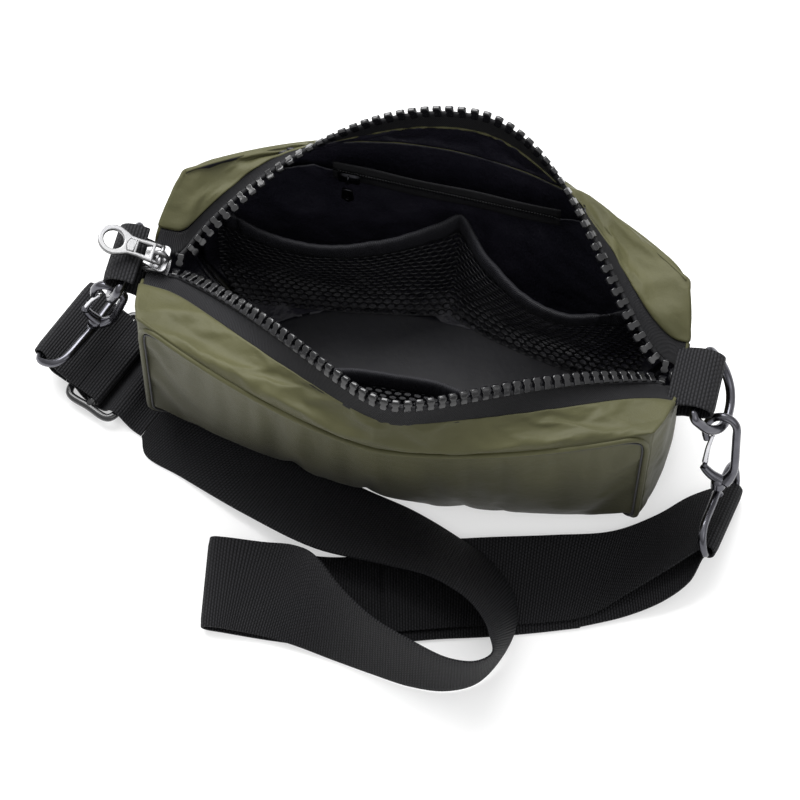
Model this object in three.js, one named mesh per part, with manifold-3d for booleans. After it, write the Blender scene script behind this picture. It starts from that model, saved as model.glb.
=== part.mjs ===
// A small zipped crossbody bag, standing open on its base, with its webbing strap lying beside it.
// Millimetres, +Z up. The origin is the middle of the base on the surface the bag stands on;
// +X runs along the bag, +Y points to its back.
import * as THREE from 'three';
import { mergeVertices } from 'three/addons/utils/BufferGeometryUtils.js';
import Module from 'manifold-3d';

const wasm = await Module();
wasm.setup();

// ---- driving dimensions ----------------------------------------------------------------
const SEAM_X = 101; // half length between the upright seams
const BASE_LEFT = 60; // flat base, from the origin to its left end
const BASE_RIGHT = 78;
const BASE_Y = 12; // half depth of the flat base at its ends
const BASE_BOW = 20; // how much deeper the base is in the middle
const WALL_END_Y = 36; // half depth of the body at its ends, just above the rounding
const WALL_BOW = 13;
const SEAM_Z = 85; // height of the top seams at the corners
const SEAM_DIP = 5; // how much lower they are in the middle
const FRONT_LEAN = 17; // the pulled-open walls lean out this far in the middle
const BACK_LEAN = 26;
const ROUND_V = 0.4; // share of a wall's height parameter spent on the bottom rounding
const SIDE_BULGE = 6;
const ZIP_END_Z = 70; // height of the zip at both ends
const LIP_RISE = 36; // how far the pulled-open lips stand above the zip's ends
const LIP_GAP = 4.8; // each chain's distance from the middle where it leaves the slider
const LIP_LEFT = -94; // where the chains part
const LIP_RIGHT = 98;
const FRONT_LIP_Y = 52;
const REAR_LIP_Y = 68;
const TAPE_W = 9; // visible tape
const CLOTH_T = 1.2; // shell fabric with its backing
const LINING_T = 0.8;
const FOAM_T = 1.8;
const GAP = 0.3; // clearance kept between neighbouring solids
const TOOTH_COUNT = 54;
const WEB_W = 38; // shoulder webbing
const WEB_T = 1.4;
const TAB_W = 25; // tab webbing
const D_WIRE = 1.9; // wire radius of the D-rings
const D_HALF = 15; // half of a D-ring's straight bar
const D_DEPTH = 22;
const HOOK_WIRE = 1.65;
const HOOK_H = 36; // height of the arch's centre line above the hook's foot
const HOOK_HALF = 6; // half width between the spine and the nose
const RING_WIRE = 1.6; // strap ring of a hook
const RING_HALF = 21.9;
const RING_DEPTH = 14;
const TAB_BAR = [114, -1, 70]; // a D-ring's bar, right side; the left one is mirrored

// ---- small helpers ---------------------------------------------------------------------
const V = (x, y, z) => new THREE.Vector3(x, y, z);
const lerp = THREE.MathUtils.lerp;
const clamp = THREE.MathUtils.clamp;
const bag = new THREE.Group();

function add(name, geometry, color, roughness = 0.8, metalness = 0) {
  const material = new THREE.MeshStandardMaterial({ color, roughness, metalness });
  const mesh = new THREE.Mesh(geometry, material);
  mesh.name = name;
  bag.add(mesh);
  return mesh;
}

const OLIVE = 0x6e6d4c;
const BLACK = 0x16161a;
const TAPE = 0x2e2e33;
const NICKEL = 0xc9c9cc;
const GUNMETAL = 0x6a6c72;

// A geometry from points and faces, turned so that its faces point out.
function closedMesh(points, faces) {
  let volume = 0;
  for (const [a, b, c] of faces) {
    volume += points[a].dot(V(0, 0, 0).crossVectors(points[b], points[c]));
  }
  const turned = volume < 0 ? faces.map(([a, b, c]) => [a, c, b]) : faces;
  const geometry = new THREE.BufferGeometry();
  const position = points.flatMap((p) => [p.x, p.y, p.z]);
  geometry.setAttribute('position', new THREE.Float32BufferAttribute(position, 3));
  geometry.setIndex(turned.flat());
  return geometry;
}

// Joins rings of equal length into a closed loft with flat ends.
function loft(rings) {
  const n = rings[0].length;
  const points = rings.flat();
  const faces = [];
  for (let i = 0; i + 1 < rings.length; i += 1) {
    for (let j = 0; j < n; j += 1) {
      const a = i * n + j;
      const b = i * n + ((j + 1) % n);
      faces.push([a, b, b + n], [a, b + n, a + n]);
    }
  }
  const last = (rings.length - 1) * n;
  for (let j = 1; j + 1 < n; j += 1) {
    faces.push([0, j + 1, j], [last, last + j, last + j + 1]);
  }
  return closedMesh(points, faces);
}

// A thin closed sheet: surface(u, v) thickened from `out` to `inn` along its normal.
// `side` is a point that the normal points away from.
function sheet(surface, [u0, u1, nu], [v0, v1, nv], out, inn, side = V(0, 0, 45)) {
  const step = 1e-3;
  const outer = [];
  const inner = [];
  for (let i = 0; i <= nu; i += 1) {
    for (let j = 0; j <= nv; j += 1) {
      const u = lerp(u0, u1, i / nu);
      const v = lerp(v0, v1, j / nv);
      const p = surface(u, v);
      const du = surface(u + step, v).sub(surface(u - step, v));
      const dv = surface(u, v + step).sub(surface(u, v - step));
      const n = du.cross(dv).normalize();
      if (n.dot(p.clone().sub(side)) < 0) n.negate();
      outer.push(p.clone().addScaledVector(n, out));
      inner.push(p.clone().addScaledVector(n, inn));
    }
  }
  const points = outer.concat(inner);
  const w = nv + 1;
  const k = outer.length;
  const faces = [];
  const quad = (a, b, c, d) => faces.push([a, b, c], [a, c, d]);
  for (let i = 0; i < nu; i += 1) {
    for (let j = 0; j < nv; j += 1) {
      const a = i * w + j;
      quad(a, a + w, a + w + 1, a + 1);
      quad(k + a, k + a + 1, k + a + w + 1, k + a + w);
    }
  }
  for (let i = 0; i < nu; i += 1) {
    const a = i * w;
    const b = a + nv;
    quad(a, k + a, k + a + w, a + w);
    quad(b, b + w, k + b + w, k + b);
  }
  for (let j = 0; j < nv; j += 1) {
    const a = j;
    const b = nu * w + j;
    quad(a, a + 1, k + a + 1, k + a);
    quad(b, k + b, k + b + 1, b + 1);
  }
  return closedMesh(points, faces);
}

// A flat band whose two edges run through the given stations of [left, right] points.
function band(stations, thickness, perStation = 3) {
  const left = new THREE.CatmullRomCurve3(stations.map(([l]) => V(...l)), false, 'centripetal');
  const right = new THREE.CatmullRomCurve3(stations.map(([, r]) => V(...r)), false, 'centripetal');
  const count = (stations.length - 1) * perStation;
  const rings = [];
  for (let i = 0; i <= count; i += 1) {
    const t = i / count;
    const l = left.getPoint(t);
    const r = right.getPoint(t);
    const along = left.getTangent(t).add(right.getTangent(t));
    const n = along.cross(r.clone().sub(l)).normalize().multiplyScalar(thickness / 2);
    rings.push([l.clone().add(n), r.clone().add(n), r.clone().sub(n), l.clone().sub(n)]);
  }
  return loft(rings);
}

// A round wire along a list of points.
function wire(points, radius, steps, sides = 8, smooth = 'centripetal') {
  const path = new THREE.CatmullRomCurve3(points, false, smooth);
  const section = new THREE.Shape();
  section.absarc(0, 0, radius, 0, Math.PI * 2, false);
  const options = { steps, extrudePath: path, bevelEnabled: false, curveSegments: sides / 2 };
  const geometry = new THREE.ExtrudeGeometry(section, options);
  geometry.deleteAttribute('normal');
  geometry.deleteAttribute('uv');
  return mergeVertices(geometry, 1e-4);
}

function block(w, d, h, x, y, z) {
  const geometry = new THREE.BoxGeometry(w, d, h);
  geometry.translate(x, y, z);
  geometry.deleteAttribute('normal');
  geometry.deleteAttribute('uv');
  return mergeVertices(geometry, 1e-4);
}

// A flat plate from an outline in local X and Z, centred on local Y.
function plate(outline, thickness, holes = []) {
  const shape = new THREE.Shape(outline.map(([x, z]) => new THREE.Vector2(x, z)));
  shape.holes = holes;
  const options = { depth: thickness, bevelEnabled: false, curveSegments: 8 };
  const geometry = new THREE.ExtrudeGeometry(shape, options);
  geometry.translate(0, 0, -thickness / 2);
  geometry.rotateX(Math.PI / 2);
  geometry.deleteAttribute('normal');
  geometry.deleteAttribute('uv');
  return mergeVertices(geometry, 1e-4);
}

function toSolid(geometry) {
  const options = {
    numProp: 3,
    vertProperties: new Float32Array(geometry.attributes.position.array),
    triVerts: new Uint32Array(geometry.index.array),
  };
  return new wasm.Manifold(new wasm.Mesh(options));
}

function toGeometry(solid) {
  const mesh = solid.getMesh();
  const geometry = new THREE.BufferGeometry();
  geometry.setAttribute('position', new THREE.Float32BufferAttribute(mesh.vertProperties, 3));
  geometry.setIndex(Array.from(mesh.triVerts));
  return geometry;
}

function join(first, ...others) {
  return toGeometry(others.reduce((solid, next) => solid.add(toSolid(next)), toSolid(first)));
}

function cut(first, ...others) {
  return toGeometry(others.reduce((solid, next) => solid.subtract(toSolid(next)), toSolid(first)));
}

// ---- the body's surfaces ---------------------------------------------------------------
// s runs along the bag from -1 to 1, v up a wall from the base's edge (0) to its top seam (1).
const mid = (s) => 1 - s * s;
const roundHeight = () => 18;
const baseHalf = (s) => BASE_Y + BASE_BOW * (1 - Math.abs(s) ** 2.6);
const seamHeight = (s) => SEAM_Z - SEAM_DIP * mid(s);

// How far a wall has come out of the base (0 to 1), and its height.
function rounding(v, radius, top) {
  if (v < ROUND_V) {
    const angle = (v / ROUND_V) * (Math.PI / 2);
    return { out: Math.sin(angle), z: radius * (1 - Math.cos(angle)) };
  }
  return { out: 1, z: radius + ((top - radius) * (v - ROUND_V)) / (1 - ROUND_V) };
}

// How far a wall bows out: the front one runs straighter towards its ends.
function bow(s, facing) {
  return facing < 0 ? 1 - Math.abs(s) ** 1.5 : mid(s);
}

function wall(s, v, facing, lean, endLean) {
  const { out, z } = rounding(v, roundHeight(s), seamHeight(s));
  const baseEnd = s < 0 ? BASE_LEFT : BASE_RIGHT;
  const x = s * (baseEnd + (SEAM_X - baseEnd) * out);
  const base = baseHalf(s);
  const full = WALL_END_Y + WALL_BOW * bow(s, facing);
  const y = base + (full - base) * out + ((lean * bow(s, facing) - endLean) * z) / SEAM_Z;
  return V(x, facing * y, z);
}

const frontWall = (s, v) => wall(s, v, -1, FRONT_LEAN, 3);
const backWall = (s, v) => wall(s, v, 1, BACK_LEAN, 2);

// The side walls: t runs from the front seam (-1) to the back seam (1).
function sideWall(t, v, hand) {
  const line = ZIP_END_Z - 0.6 + (SEAM_Z - ZIP_END_Z) * clamp((Math.abs(t) - 0.13) / 0.87, 0, 1);
  const top = lerp(64.5, line, clamp((Math.abs(t) - 0.18) / 0.14, 0, 1));
  const { out, z } = rounding(v, roundHeight(hand), top);
  const baseEnd = hand < 0 ? BASE_LEFT : BASE_RIGHT;
  const x = baseEnd + (SEAM_X - baseEnd) * out + SIDE_BULGE * mid(t) * out;
  const base = BASE_Y + (WALL_END_Y - BASE_Y) * out;
  const y = lerp(-base + (3 * z) / SEAM_Z, base - (2 * z) / SEAM_Z, (t + 1) / 2);
  return V(hand * x, y, z);
}

// The two lips of the open zip, and the visible edge of each tape.
function lipShare(x, apex) {
  return clamp(x < apex ? (apex - x) / (apex - LIP_LEFT) : (x - apex) / (LIP_RIGHT - apex), 0, 1);
}

function frontLip(s) {
  const x = 102.5 * s;
  const q = lipShare(x, 4);
  const soft = 0.14;
  const tent = 1 - (Math.hypot(q, soft) - soft) / (Math.hypot(1, soft) - soft);
  const z = ZIP_END_Z + LIP_RISE * (1 - q ** 1.7);
  return V(x, -LIP_GAP - FRONT_LIP_Y * tent ** 1.1, z);
}

function rearLip(s) {
  const x = 102.5 * s;
  const q = lipShare(x, 8);
  const power = x < 8 ? 0.75 : 1.5;
  const z = ZIP_END_Z + LIP_RISE * (1 - q ** 1.7);
  return V(x, LIP_GAP + REAR_LIP_Y * (1 - q * q) ** power, z);
}

function tapeEdge(s, lip, seam) {
  const from = lip(s);
  const to = seam(s, 1);
  return from.lerp(to, TAPE_W / from.distanceTo(to));
}

// The olive strip between a top seam (u = 0) and the tape (u = 1).
function strip(s, u, lip, seam) {
  const crown = 1.5 * Math.sin(Math.PI * u);
  return seam(s, 1).lerp(tapeEdge(s, lip, seam), u).add(V(0, 0, crown));
}

const tape = (s, u, lip, seam) => tapeEdge(s, lip, seam).lerp(lip(s), u);

// ---- shell -----------------------------------------------------------------------------
const SIDE_T = 1 - (CLOTH_T + 0.55) / WALL_END_Y;
const STRIP_START = 0.12;
const ROWS = 12;

function addShell() {
  const cols = 14;
  const wallV = [0.004, 0.985, ROWS];
  add('front_panel', sheet(frontWall, [-0.997, 0.997, cols], wallV, 0, -CLOTH_T), OLIVE);
  add('back_panel', sheet(backWall, [-0.997, 0.997, cols], wallV, 0, -CLOTH_T), OLIVE);
  for (const [name, hand] of [['left_side_panel', -1], ['right_side_panel', 1]]) {
    const surface = (t, v) => sideWall(t, v, hand);
    add(name, sheet(surface, [-SIDE_T, SIDE_T, 8], [0.004, 0.97, ROWS], 0, -CLOTH_T), OLIVE);
  }
  const stripRow = (lip, seam) => (s, u) => strip(s, u, lip, seam);
  const range = [-0.965, 0.965, 22];
  const front = stripRow(frontLip, frontWall);
  const back = stripRow(rearLip, backWall);
  add('front_top_strip', sheet(front, range, [STRIP_START, 0.95, 3], 0, -CLOTH_T, V(0, 0, 0)), OLIVE);
  add('back_top_strip', sheet(back, range, [STRIP_START, 0.95, 3], 0, -CLOTH_T, V(0, 0, 0)), OLIVE);
}

// A flat slab on the base's outline, drawn in from it by `inset`.
function baseSlab(inset, low, high) {
  const shape = new THREE.Shape();
  const n = 12;
  for (let i = 0; i <= 2 * n + 1; i += 1) {
    const front = i <= n;
    const s = front ? lerp(-1, 1, i / n) : lerp(1, -1, (i - n - 1) / n);
    const p = wall(s, 0, front ? -1 : 1, 0, 0);
    const y = Math.sign(p.y) * (Math.abs(p.y) - inset);
    const x = clamp(p.x, inset - BASE_LEFT, BASE_RIGHT - inset);
    if (i === 0) shape.moveTo(x, y);
    else shape.lineTo(x, y);
  }
  const geometry = new THREE.ExtrudeGeometry(shape, { depth: high - low, bevelEnabled: false });
  geometry.translate(0, 0, low);
  geometry.deleteAttribute('normal');
  geometry.deleteAttribute('uv');
  return mergeVertices(geometry, 1e-4);
}

function addBase() {
  add('base_panel', baseSlab(0.5, 0, 1.5), OLIVE);
  add('base_stiffener', baseSlab(2.5, 1.8, 3.2), 0x4a4a4e);
  add('base_lining', baseSlab(2.5, 3.5, 4.3), BLACK);
}

// ---- padding, lining and pockets -------------------------------------------------------
const FOAM_OUT = -(CLOTH_T + 2 * GAP);
const LINING_OUT = FOAM_OUT - FOAM_T - 0.9;
const POCKET_ZIP_Z = 74;
const POCKET_ZIP_Y = 54.6;
const POCKET_ZIP_HALF = 44;
const DIVIDER_X = 6;

// The back lining is drawn straight along the pocket zip.
function backLining(s, v) {
  const p = backWall(s, v);
  const near = Math.exp(-(((p.z - POCKET_ZIP_Z) / 9) ** 2)) * clamp((68 - Math.abs(p.x)) / 14, 0, 1);
  const limit = POCKET_ZIP_Y + 1.2 - LINING_OUT + LINING_T;
  p.y -= near * Math.max(0, p.y - limit);
  return p;
}

// Height parameter of a wall at a height above its rounding.
const vAt = (z) => ROUND_V + ((z - 18) * (1 - ROUND_V)) / (SEAM_Z - SEAM_DIP - 18);

function meshPocket(s, v) {
  const p = backWall(s, v);
  const rise = clamp(p.z / 50, 0, 1.2);
  const left = p.x < DIVIDER_X;
  const share = left ? (p.x + 86) / (86 + DIVIDER_X) : (p.x - DIVIDER_X) / (86 - DIVIDER_X);
  const bulge = (left ? 21 : 25) * Math.sin(Math.PI * clamp(share, 0, 1)) ** 0.8;
  p.y -= 7.8 + bulge * (0.25 + 0.75 * rise);
  return p;
}

function frontPocket(s, v) {
  const p = frontWall(s, v);
  const share = clamp((p.x + 58) / 124, 0, 1);
  p.y += 6.4 + 27 * Math.sin(Math.PI * share) * (0.15 + 0.85 * clamp(p.z / 72, 0, 1.1));
  return p;
}

function addLining() {
  const foamV = [1 / ROWS, 1 - 0.6 / ROWS, ROWS - 2];
  const foamS = [-0.94, 0.94, 14];
  add('front_padding', sheet(frontWall, foamS, foamV, FOAM_OUT, FOAM_OUT - FOAM_T), 0x55565a);
  add('back_padding', sheet(backWall, foamS, foamV, FOAM_OUT, FOAM_OUT - FOAM_T), 0x55565a);
  const liningS = [-0.92, 0.92, 14];
  const inner = LINING_OUT - LINING_T;
  add('front_lining', sheet(frontWall, liningS, [0.1, 0.95, 10], LINING_OUT, inner), BLACK);
  add('back_lining', sheet(backLining, liningS, [0.1, 0.95, 14], LINING_OUT, inner), BLACK);
  for (const [name, hand] of [['left_side_lining', -1], ['right_side_lining', 1]]) {
    const surface = (t, v) => sideWall(t, v, hand);
    add(name, sheet(surface, [-0.8, 0.8, 6], [0.16, 0.93, 8], -1.9, -1.9 - LINING_T), BLACK);
  }
}

function addPockets() {
  const top = vAt(48.5);
  add('mesh_pocket', sheet(meshPocket, [-0.84, 0.84, 22], [0.28, top, 4], 0, -0.8), 0x1b1b1e);
  const edge = [top + 0.006, top + 0.09, 1];
  add('mesh_pocket_binding', sheet(meshPocket, [-0.84, 0.84, 22], edge, 0.2, -1), 0x24242a);
  const frontTop = vAt(64);
  add('front_pocket', sheet(frontPocket, [-0.57, 0.65, 12], [0.32, frontTop, 4], 0, -0.8), 0x1b1b1e);
  const frontEdge = [frontTop + 0.006, frontTop + 0.09, 1];
  add('front_pocket_binding', sheet(frontPocket, [-0.57, 0.65, 12], frontEdge, 0.2, -1), 0x24242a);
}

function addPocketZip() {
  const x = 0;
  const y = POCKET_ZIP_Y;
  const z = POCKET_ZIP_Z;
  const half = POCKET_ZIP_HALF;
  add('pocket_zip_upper_tape', block(2 * half + 4, 0.7, 4.6, x, y, z + 3.6), TAPE);
  add('pocket_zip_lower_tape', block(2 * half + 4, 0.7, 4.6, x, y, z - 3.6), TAPE);
  const coil = new THREE.CylinderGeometry(0.9, 0.9, 2 * half, 8);
  coil.rotateZ(Math.PI / 2);
  coil.translate(x, y - 0.2, z);
  coil.deleteAttribute('normal');
  coil.deleteAttribute('uv');
  add('pocket_zip_coil', mergeVertices(coil, 1e-4), 0x202024);
  const start = x - half + 5;
  const body = join(block(9, 1.3, 6.4, start, y - 2.6, z), block(3, 1.6, 2.4, start, y - 3.8, z));
  const bail = new THREE.CylinderGeometry(0.65, 0.65, 4.6, 8);
  bail.deleteAttribute('normal');
  bail.deleteAttribute('uv');
  bail.translate(start, y - 4.2, z);
  add('pocket_zip_slider', cut(body, mergeVertices(bail, 1e-4)), 0x1c1c20, 0.35, 0.8);
  const pullHole = new THREE.Path();
  pullHole.absarc(0, -10.8, 1.1, 0, Math.PI * 2, true);
  const outline = [[-2, -4], [-2.6, -12], [-1.4, -13.4], [1.4, -13.4], [2.6, -12], [2, -4]];
  const pull = plate(outline, 1, [pullHole]);
  pull.translate(start, y - 5.2, z);
  add('pocket_zip_pull', pull, 0x1c1c20, 0.35, 0.8);
}

// ---- main zip --------------------------------------------------------------------------
// One moulded chain: a bead along the tape's edge with a tooth at every pitch.
function chain(lip, seam) {
  const samples = 400;
  const curve = [];
  for (let i = 0; i <= samples; i += 1) curve.push(lip(lerp(-0.946, 0.965, i / samples)));
  const path = new THREE.CatmullRomCurve3(curve);
  path.arcLengthDivisions = 800;
  const length = path.getLength();
  const pitch = length / TOOTH_COUNT;
  const rings = [];
  const ring = (at, reach, half) => {
    const t = clamp(at / length, 0, 1);
    const p = path.getPointAt(t);
    const along = path.getTangentAt(t);
    const s = p.x / 102.5;
    const across = lip(s).sub(tapeEdge(s, lip, seam)).normalize();
    across.addScaledVector(along, -across.dot(along)).normalize();
    const n = along.clone().cross(across);
    const at0 = (w, h) => p.clone().addScaledVector(across, w).addScaledVector(n, h);
    rings.push([at0(0.5, -half), at0(reach, -half), at0(reach, half), at0(0.5, half)]);
  };
  for (let i = 0; i < TOOTH_COUNT; i += 1) {
    const centre = (i + 0.5) * pitch;
    ring(centre - pitch * 0.22, 4.4, 1.4);
    ring(centre + pitch * 0.22, 4.4, 1.4);
    if (i + 1 < TOOTH_COUNT) ring(centre + pitch * 0.5, 1.5, 0.8);
  }
  return loft(rings);
}

const SLIDER_X = -103;

function addZip() {
  for (const [name, lip, seam] of [['front', frontLip, frontWall], ['back', rearLip, backWall]]) {
    const surface = (s, u) => tape(s, u, lip, seam);
    const geometry = sheet(surface, [-0.965, 0.985, 28], [0.06, 1, 1], -0.2, -0.9, V(0, 0, 0));
    add(`${name}_zip_tape`, geometry, TAPE);
    add(`${name}_zip_teeth`, chain(lip, seam), 0x1a1a1d, 0.35);
  }
  const z = ZIP_END_Z - 0.5;
  const x = SLIDER_X;
  const top = block(10, 12, 1.4, x, 0, z + 3.4);
  const bottom = block(10, 12, 1.4, x, 0, z - 3.4);
  const post = block(2.4, 2.2, 6.4, x + 2, 0, z);
  const lug = block(4.6, 2.6, 4, x + 2.4, 0, z + 5.9);
  const eye = new THREE.CylinderGeometry(1.25, 1.25, 8, 12);
  eye.translate(x + 1.8, 0, z + 6.2);
  eye.deleteAttribute('normal');
  eye.deleteAttribute('uv');
  const body = join(top, bottom, post, lug);
  add('zip_slider', cut(body, mergeVertices(eye, 1e-4)), NICKEL, 0.25, 1);
  const stop = block(1.6, 5, 2.2, 102.4, 0, ZIP_END_Z - 0.5);
  add('zip_end_stop', stop, 0x1a1a1d, 0.4);
}

// The pull lies over the left tab, hung by a crossbar in the slider's eye.
const PULL_LIFT = THREE.MathUtils.degToRad(14);

function addPull() {
  const ringHole = new THREE.Path();
  ringHole.absarc(-19.3, 0, 4.3, 0, Math.PI * 2, true);
  const windowHole = new THREE.Path();
  const corners = [[-4, -2.9], [-10, -2.5], [-10, 2.5], [-4, 2.9]];
  windowHole.setFromPoints(corners.map(([x, y]) => new THREE.Vector2(x, y)));
  const shape = new THREE.Shape();
  shape.moveTo(-2.7, -4.2);
  shape.lineTo(-2.7, 4.2);
  shape.quadraticCurveTo(-10, 3.2, -15.3, 5.2);
  shape.absarc(-19.3, 0, 6.2, Math.PI * 0.3, Math.PI * 1.7, false);
  shape.quadraticCurveTo(-10, -3.2, -2.7, -4.2);
  shape.holes = [ringHole, windowHole];
  const options = { depth: 1.6, bevelEnabled: false, curveSegments: 10 };
  const blank = new THREE.ExtrudeGeometry(shape, options);
  blank.translate(0, 0, -0.8);
  blank.deleteAttribute('normal');
  blank.deleteAttribute('uv');
  const bar = new THREE.CylinderGeometry(0.85, 0.85, 8.4, 10);
  bar.deleteAttribute('normal');
  bar.deleteAttribute('uv');
  const arms = [1, -1].map((hand) => block(3.6, 1.1, 1.6, -1.4, hand * 3.65, 0));
  const geometry = join(mergeVertices(blank, 1e-4), mergeVertices(bar, 1e-4), ...arms);
  const pull = add('zip_pull', geometry, NICKEL, 0.2, 1);
  pull.position.set(SLIDER_X + 1.8, 0, ZIP_END_Z + 5.7);
  pull.rotation.y = PULL_LIFT;
}

// ---- tabs, D-rings and hooks -----------------------------------------------------------
function addTab(name, hand) {
  const root = hand < 0 ? [109.4, 73.6] : [107.3, 72.6];
  const profile = [
    root, [111, 74.2], [114, 74.6], [118, 73.8], [120.6, 71.2],
    [120.2, 68], [117, 66], [113, 65.2], [110, 64.8], [107.9, 63.6],
  ];
  const y = TAB_W / 2;
  const c = TAB_BAR[1];
  const stations = profile.map(([x, z]) => [[hand * x, c - y, z], [hand * x, c + y, z]]);
  add(name, band(stations, WEB_T, 2), BLACK, 0.9);
}

// A D-ring: bent wire with a butt joint in the middle of its straight bar.
function dRing(name, hand, down) {
  const [bx, by, bz] = TAB_BAR;
  const outline = [[-0.3, 0], [-6, 0], [-11, 0], [-14, 0.3], [-D_HALF, 1.6], [-D_HALF, 5], [-14.4, 10],
    [-12, 15.5], [-8.6, 19.4], [-4.4, 21.5], [0, D_DEPTH]];
  const mirrored = outline.slice(0, -1).reverse().map(([y, d]) => [-y, d]);
  const points = [...outline, ...mirrored].map(([y, d]) => {
    return V(hand * bx + down.x * d, by + y, bz + down.z * d);
  });
  add(name, wire(points, D_WIRE, 38, 6), GUNMETAL, 0.3, 1);
}

// A frame with Z along `up` and X as near as possible to +X.
function hookFrame(foot, up) {
  const z = up.clone().normalize();
  const x = V(1, 0, 0).addScaledVector(z, -z.x).normalize();
  const y = z.clone().cross(x);
  return new THREE.Matrix4().makeBasis(x, y, z).setPosition(foot);
}

function place(geometry, matrix) {
  geometry.applyMatrix4(matrix);
  return geometry;
}

function addHook(side, foot, up, ringAlong, ringDown, flip) {
  const frame = hookFrame(foot, up);
  const h = HOOK_H - HOOK_HALF;
  const arch = [];
  for (let i = 0; i <= 6; i += 1) {
    const a = (Math.PI * i) / 6;
    arch.push(V(flip * HOOK_HALF * Math.cos(a), 0, h + HOOK_HALF * Math.sin(a)));
  }
  const nose = [V(-flip * 6, 0, 27), V(-flip * 5.6, 0, 24)];
  const reach = HOOK_HALF * flip;
  const spine = [V(flip * 3.4, 0, 4.6), V(flip * 5.2, 0, 8), V(reach, 0, 13), V(reach, 0, 22)];
  const rod = wire([...spine, ...arch, ...nose], HOOK_WIRE, 26, 6);
  const outline = [[-3, 2.6], [3, 2.6], [6.6, 9.4], [5, 10.4], [1.5, 6.6], [-5.6, 11.5], [-7.4, 9.6]];
  const base = plate(outline.map(([x, z]) => [flip * x, z]), 4.2);
  const collar = new THREE.CylinderGeometry(2.9, 2.9, 3, 12);
  collar.rotateX(Math.PI / 2);
  collar.translate(0, 0, 2.6);
  collar.deleteAttribute('normal');
  collar.deleteAttribute('uv');
  const body = join(rod, base, mergeVertices(collar, 1e-4));
  add(`${side}_hook`, place(body, frame), GUNMETAL, 0.3, 1);
  const gateLine = [
    [-5.4, 12.1], [-6.1, 13.2], [-4.7, 21], [-2.9, 27.2], [-2.2, 27], [-3.8, 20.5], [-5.1, 13],
  ];
  const gate = plate(gateLine.map(([x, z]) => [flip * x, z]), 2.6);
  add(`${side}_hook_gate`, place(gate, frame), 0x9a9ca2, 0.25, 1);

  // The strap ring hangs below the hook's collar on a short riveted neck.
  const along = ringAlong.clone().normalize();
  const down = ringDown.clone().addScaledVector(along, -ringDown.dot(along)).normalize();
  const w = RING_HALF;
  const d = RING_DEPTH;
  const outlineRing = [[-0.3, d], [-8, d], [-w + 2.2, d], [-w, d - 2.2], [-w, 5], [-w + 3.4, 1.2], [-8, 0],
    [0, -0.6]];
  const mirrored = outlineRing.slice(0, -1).reverse().map(([a, b]) => [-a, b]);
  const neck = foot.clone().addScaledVector(up.clone().normalize(), -2);
  const points = [...outlineRing, ...mirrored].map(([a, b]) => {
    return neck.clone().addScaledVector(along, a).addScaledVector(down, b);
  });
  add(`${side}_strap_ring`, wire(points, RING_WIRE, 40, 6), GUNMETAL, 0.3, 1);
}

const LEFT_DOWN = V(-0.35, 0, -0.94).normalize();
const RIGHT_DOWN = V(0.57, 0, -0.82).normalize();
const LEFT_UP = V(0.29, 0.036, 0.955).normalize();
const RIGHT_UP = V(-0.115, 0.432, 0.893).normalize();
const LEFT_FOOT = V(-130.4, -9.4, 21.2);
const LEFT_RING_ALONG = V(-0.32, -0.94, 0.075).normalize();
const LEFT_RING_DOWN = V(-0.84, 0.24, -0.49).normalize();
const RIGHT_RING_ALONG = V(0.14, 0.925, -0.355).normalize();
const RIGHT_RING_DOWN = V(0.254, -0.38, -0.889).normalize();
const RIGHT_FOOT = V(128.8, -22.5, 25.3);

function addHardware() {
  addTab('left_tab', -1);
  addTab('right_tab', 1);
  dRing('left_d_ring', -1, LEFT_DOWN);
  dRing('right_d_ring', 1, RIGHT_DOWN);
  addHook('left', LEFT_FOOT, LEFT_UP, LEFT_RING_ALONG, LEFT_RING_DOWN, 1);
  addHook('right', RIGHT_FOOT, RIGHT_UP, RIGHT_RING_ALONG, RIGHT_RING_DOWN, 1);
}

// ---- strap adjuster --------------------------------------------------------------------
const GLIDE = V(-117.9, -17.4, 0); // under the middle of its centre bar
const GLIDE_ALONG = V(0.93, -0.36, 0).normalize(); // the way the webbing runs
const GLIDE_ACROSS = V(0.36, 0.93, 0).normalize();
const BAR_Z = 5.4;
const RAIL_U = 10.75;
const RAIL_Z = 5;

// A point of the adjuster: u along the webbing, w across it.
const glidePoint = (u, w, z) => {
  return GLIDE.clone().addScaledVector(GLIDE_ALONG, u).addScaledVector(GLIDE_ACROSS, w).setZ(z);
};

// Stations of webbing that crosses the adjuster, from [u, z] pairs.
const glideBand = (pairs) => pairs.map(([u, z]) => {
  return [glidePoint(u, WEB_W / 2, z).toArray(), glidePoint(u, -WEB_W / 2, z).toArray()];
});

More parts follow.
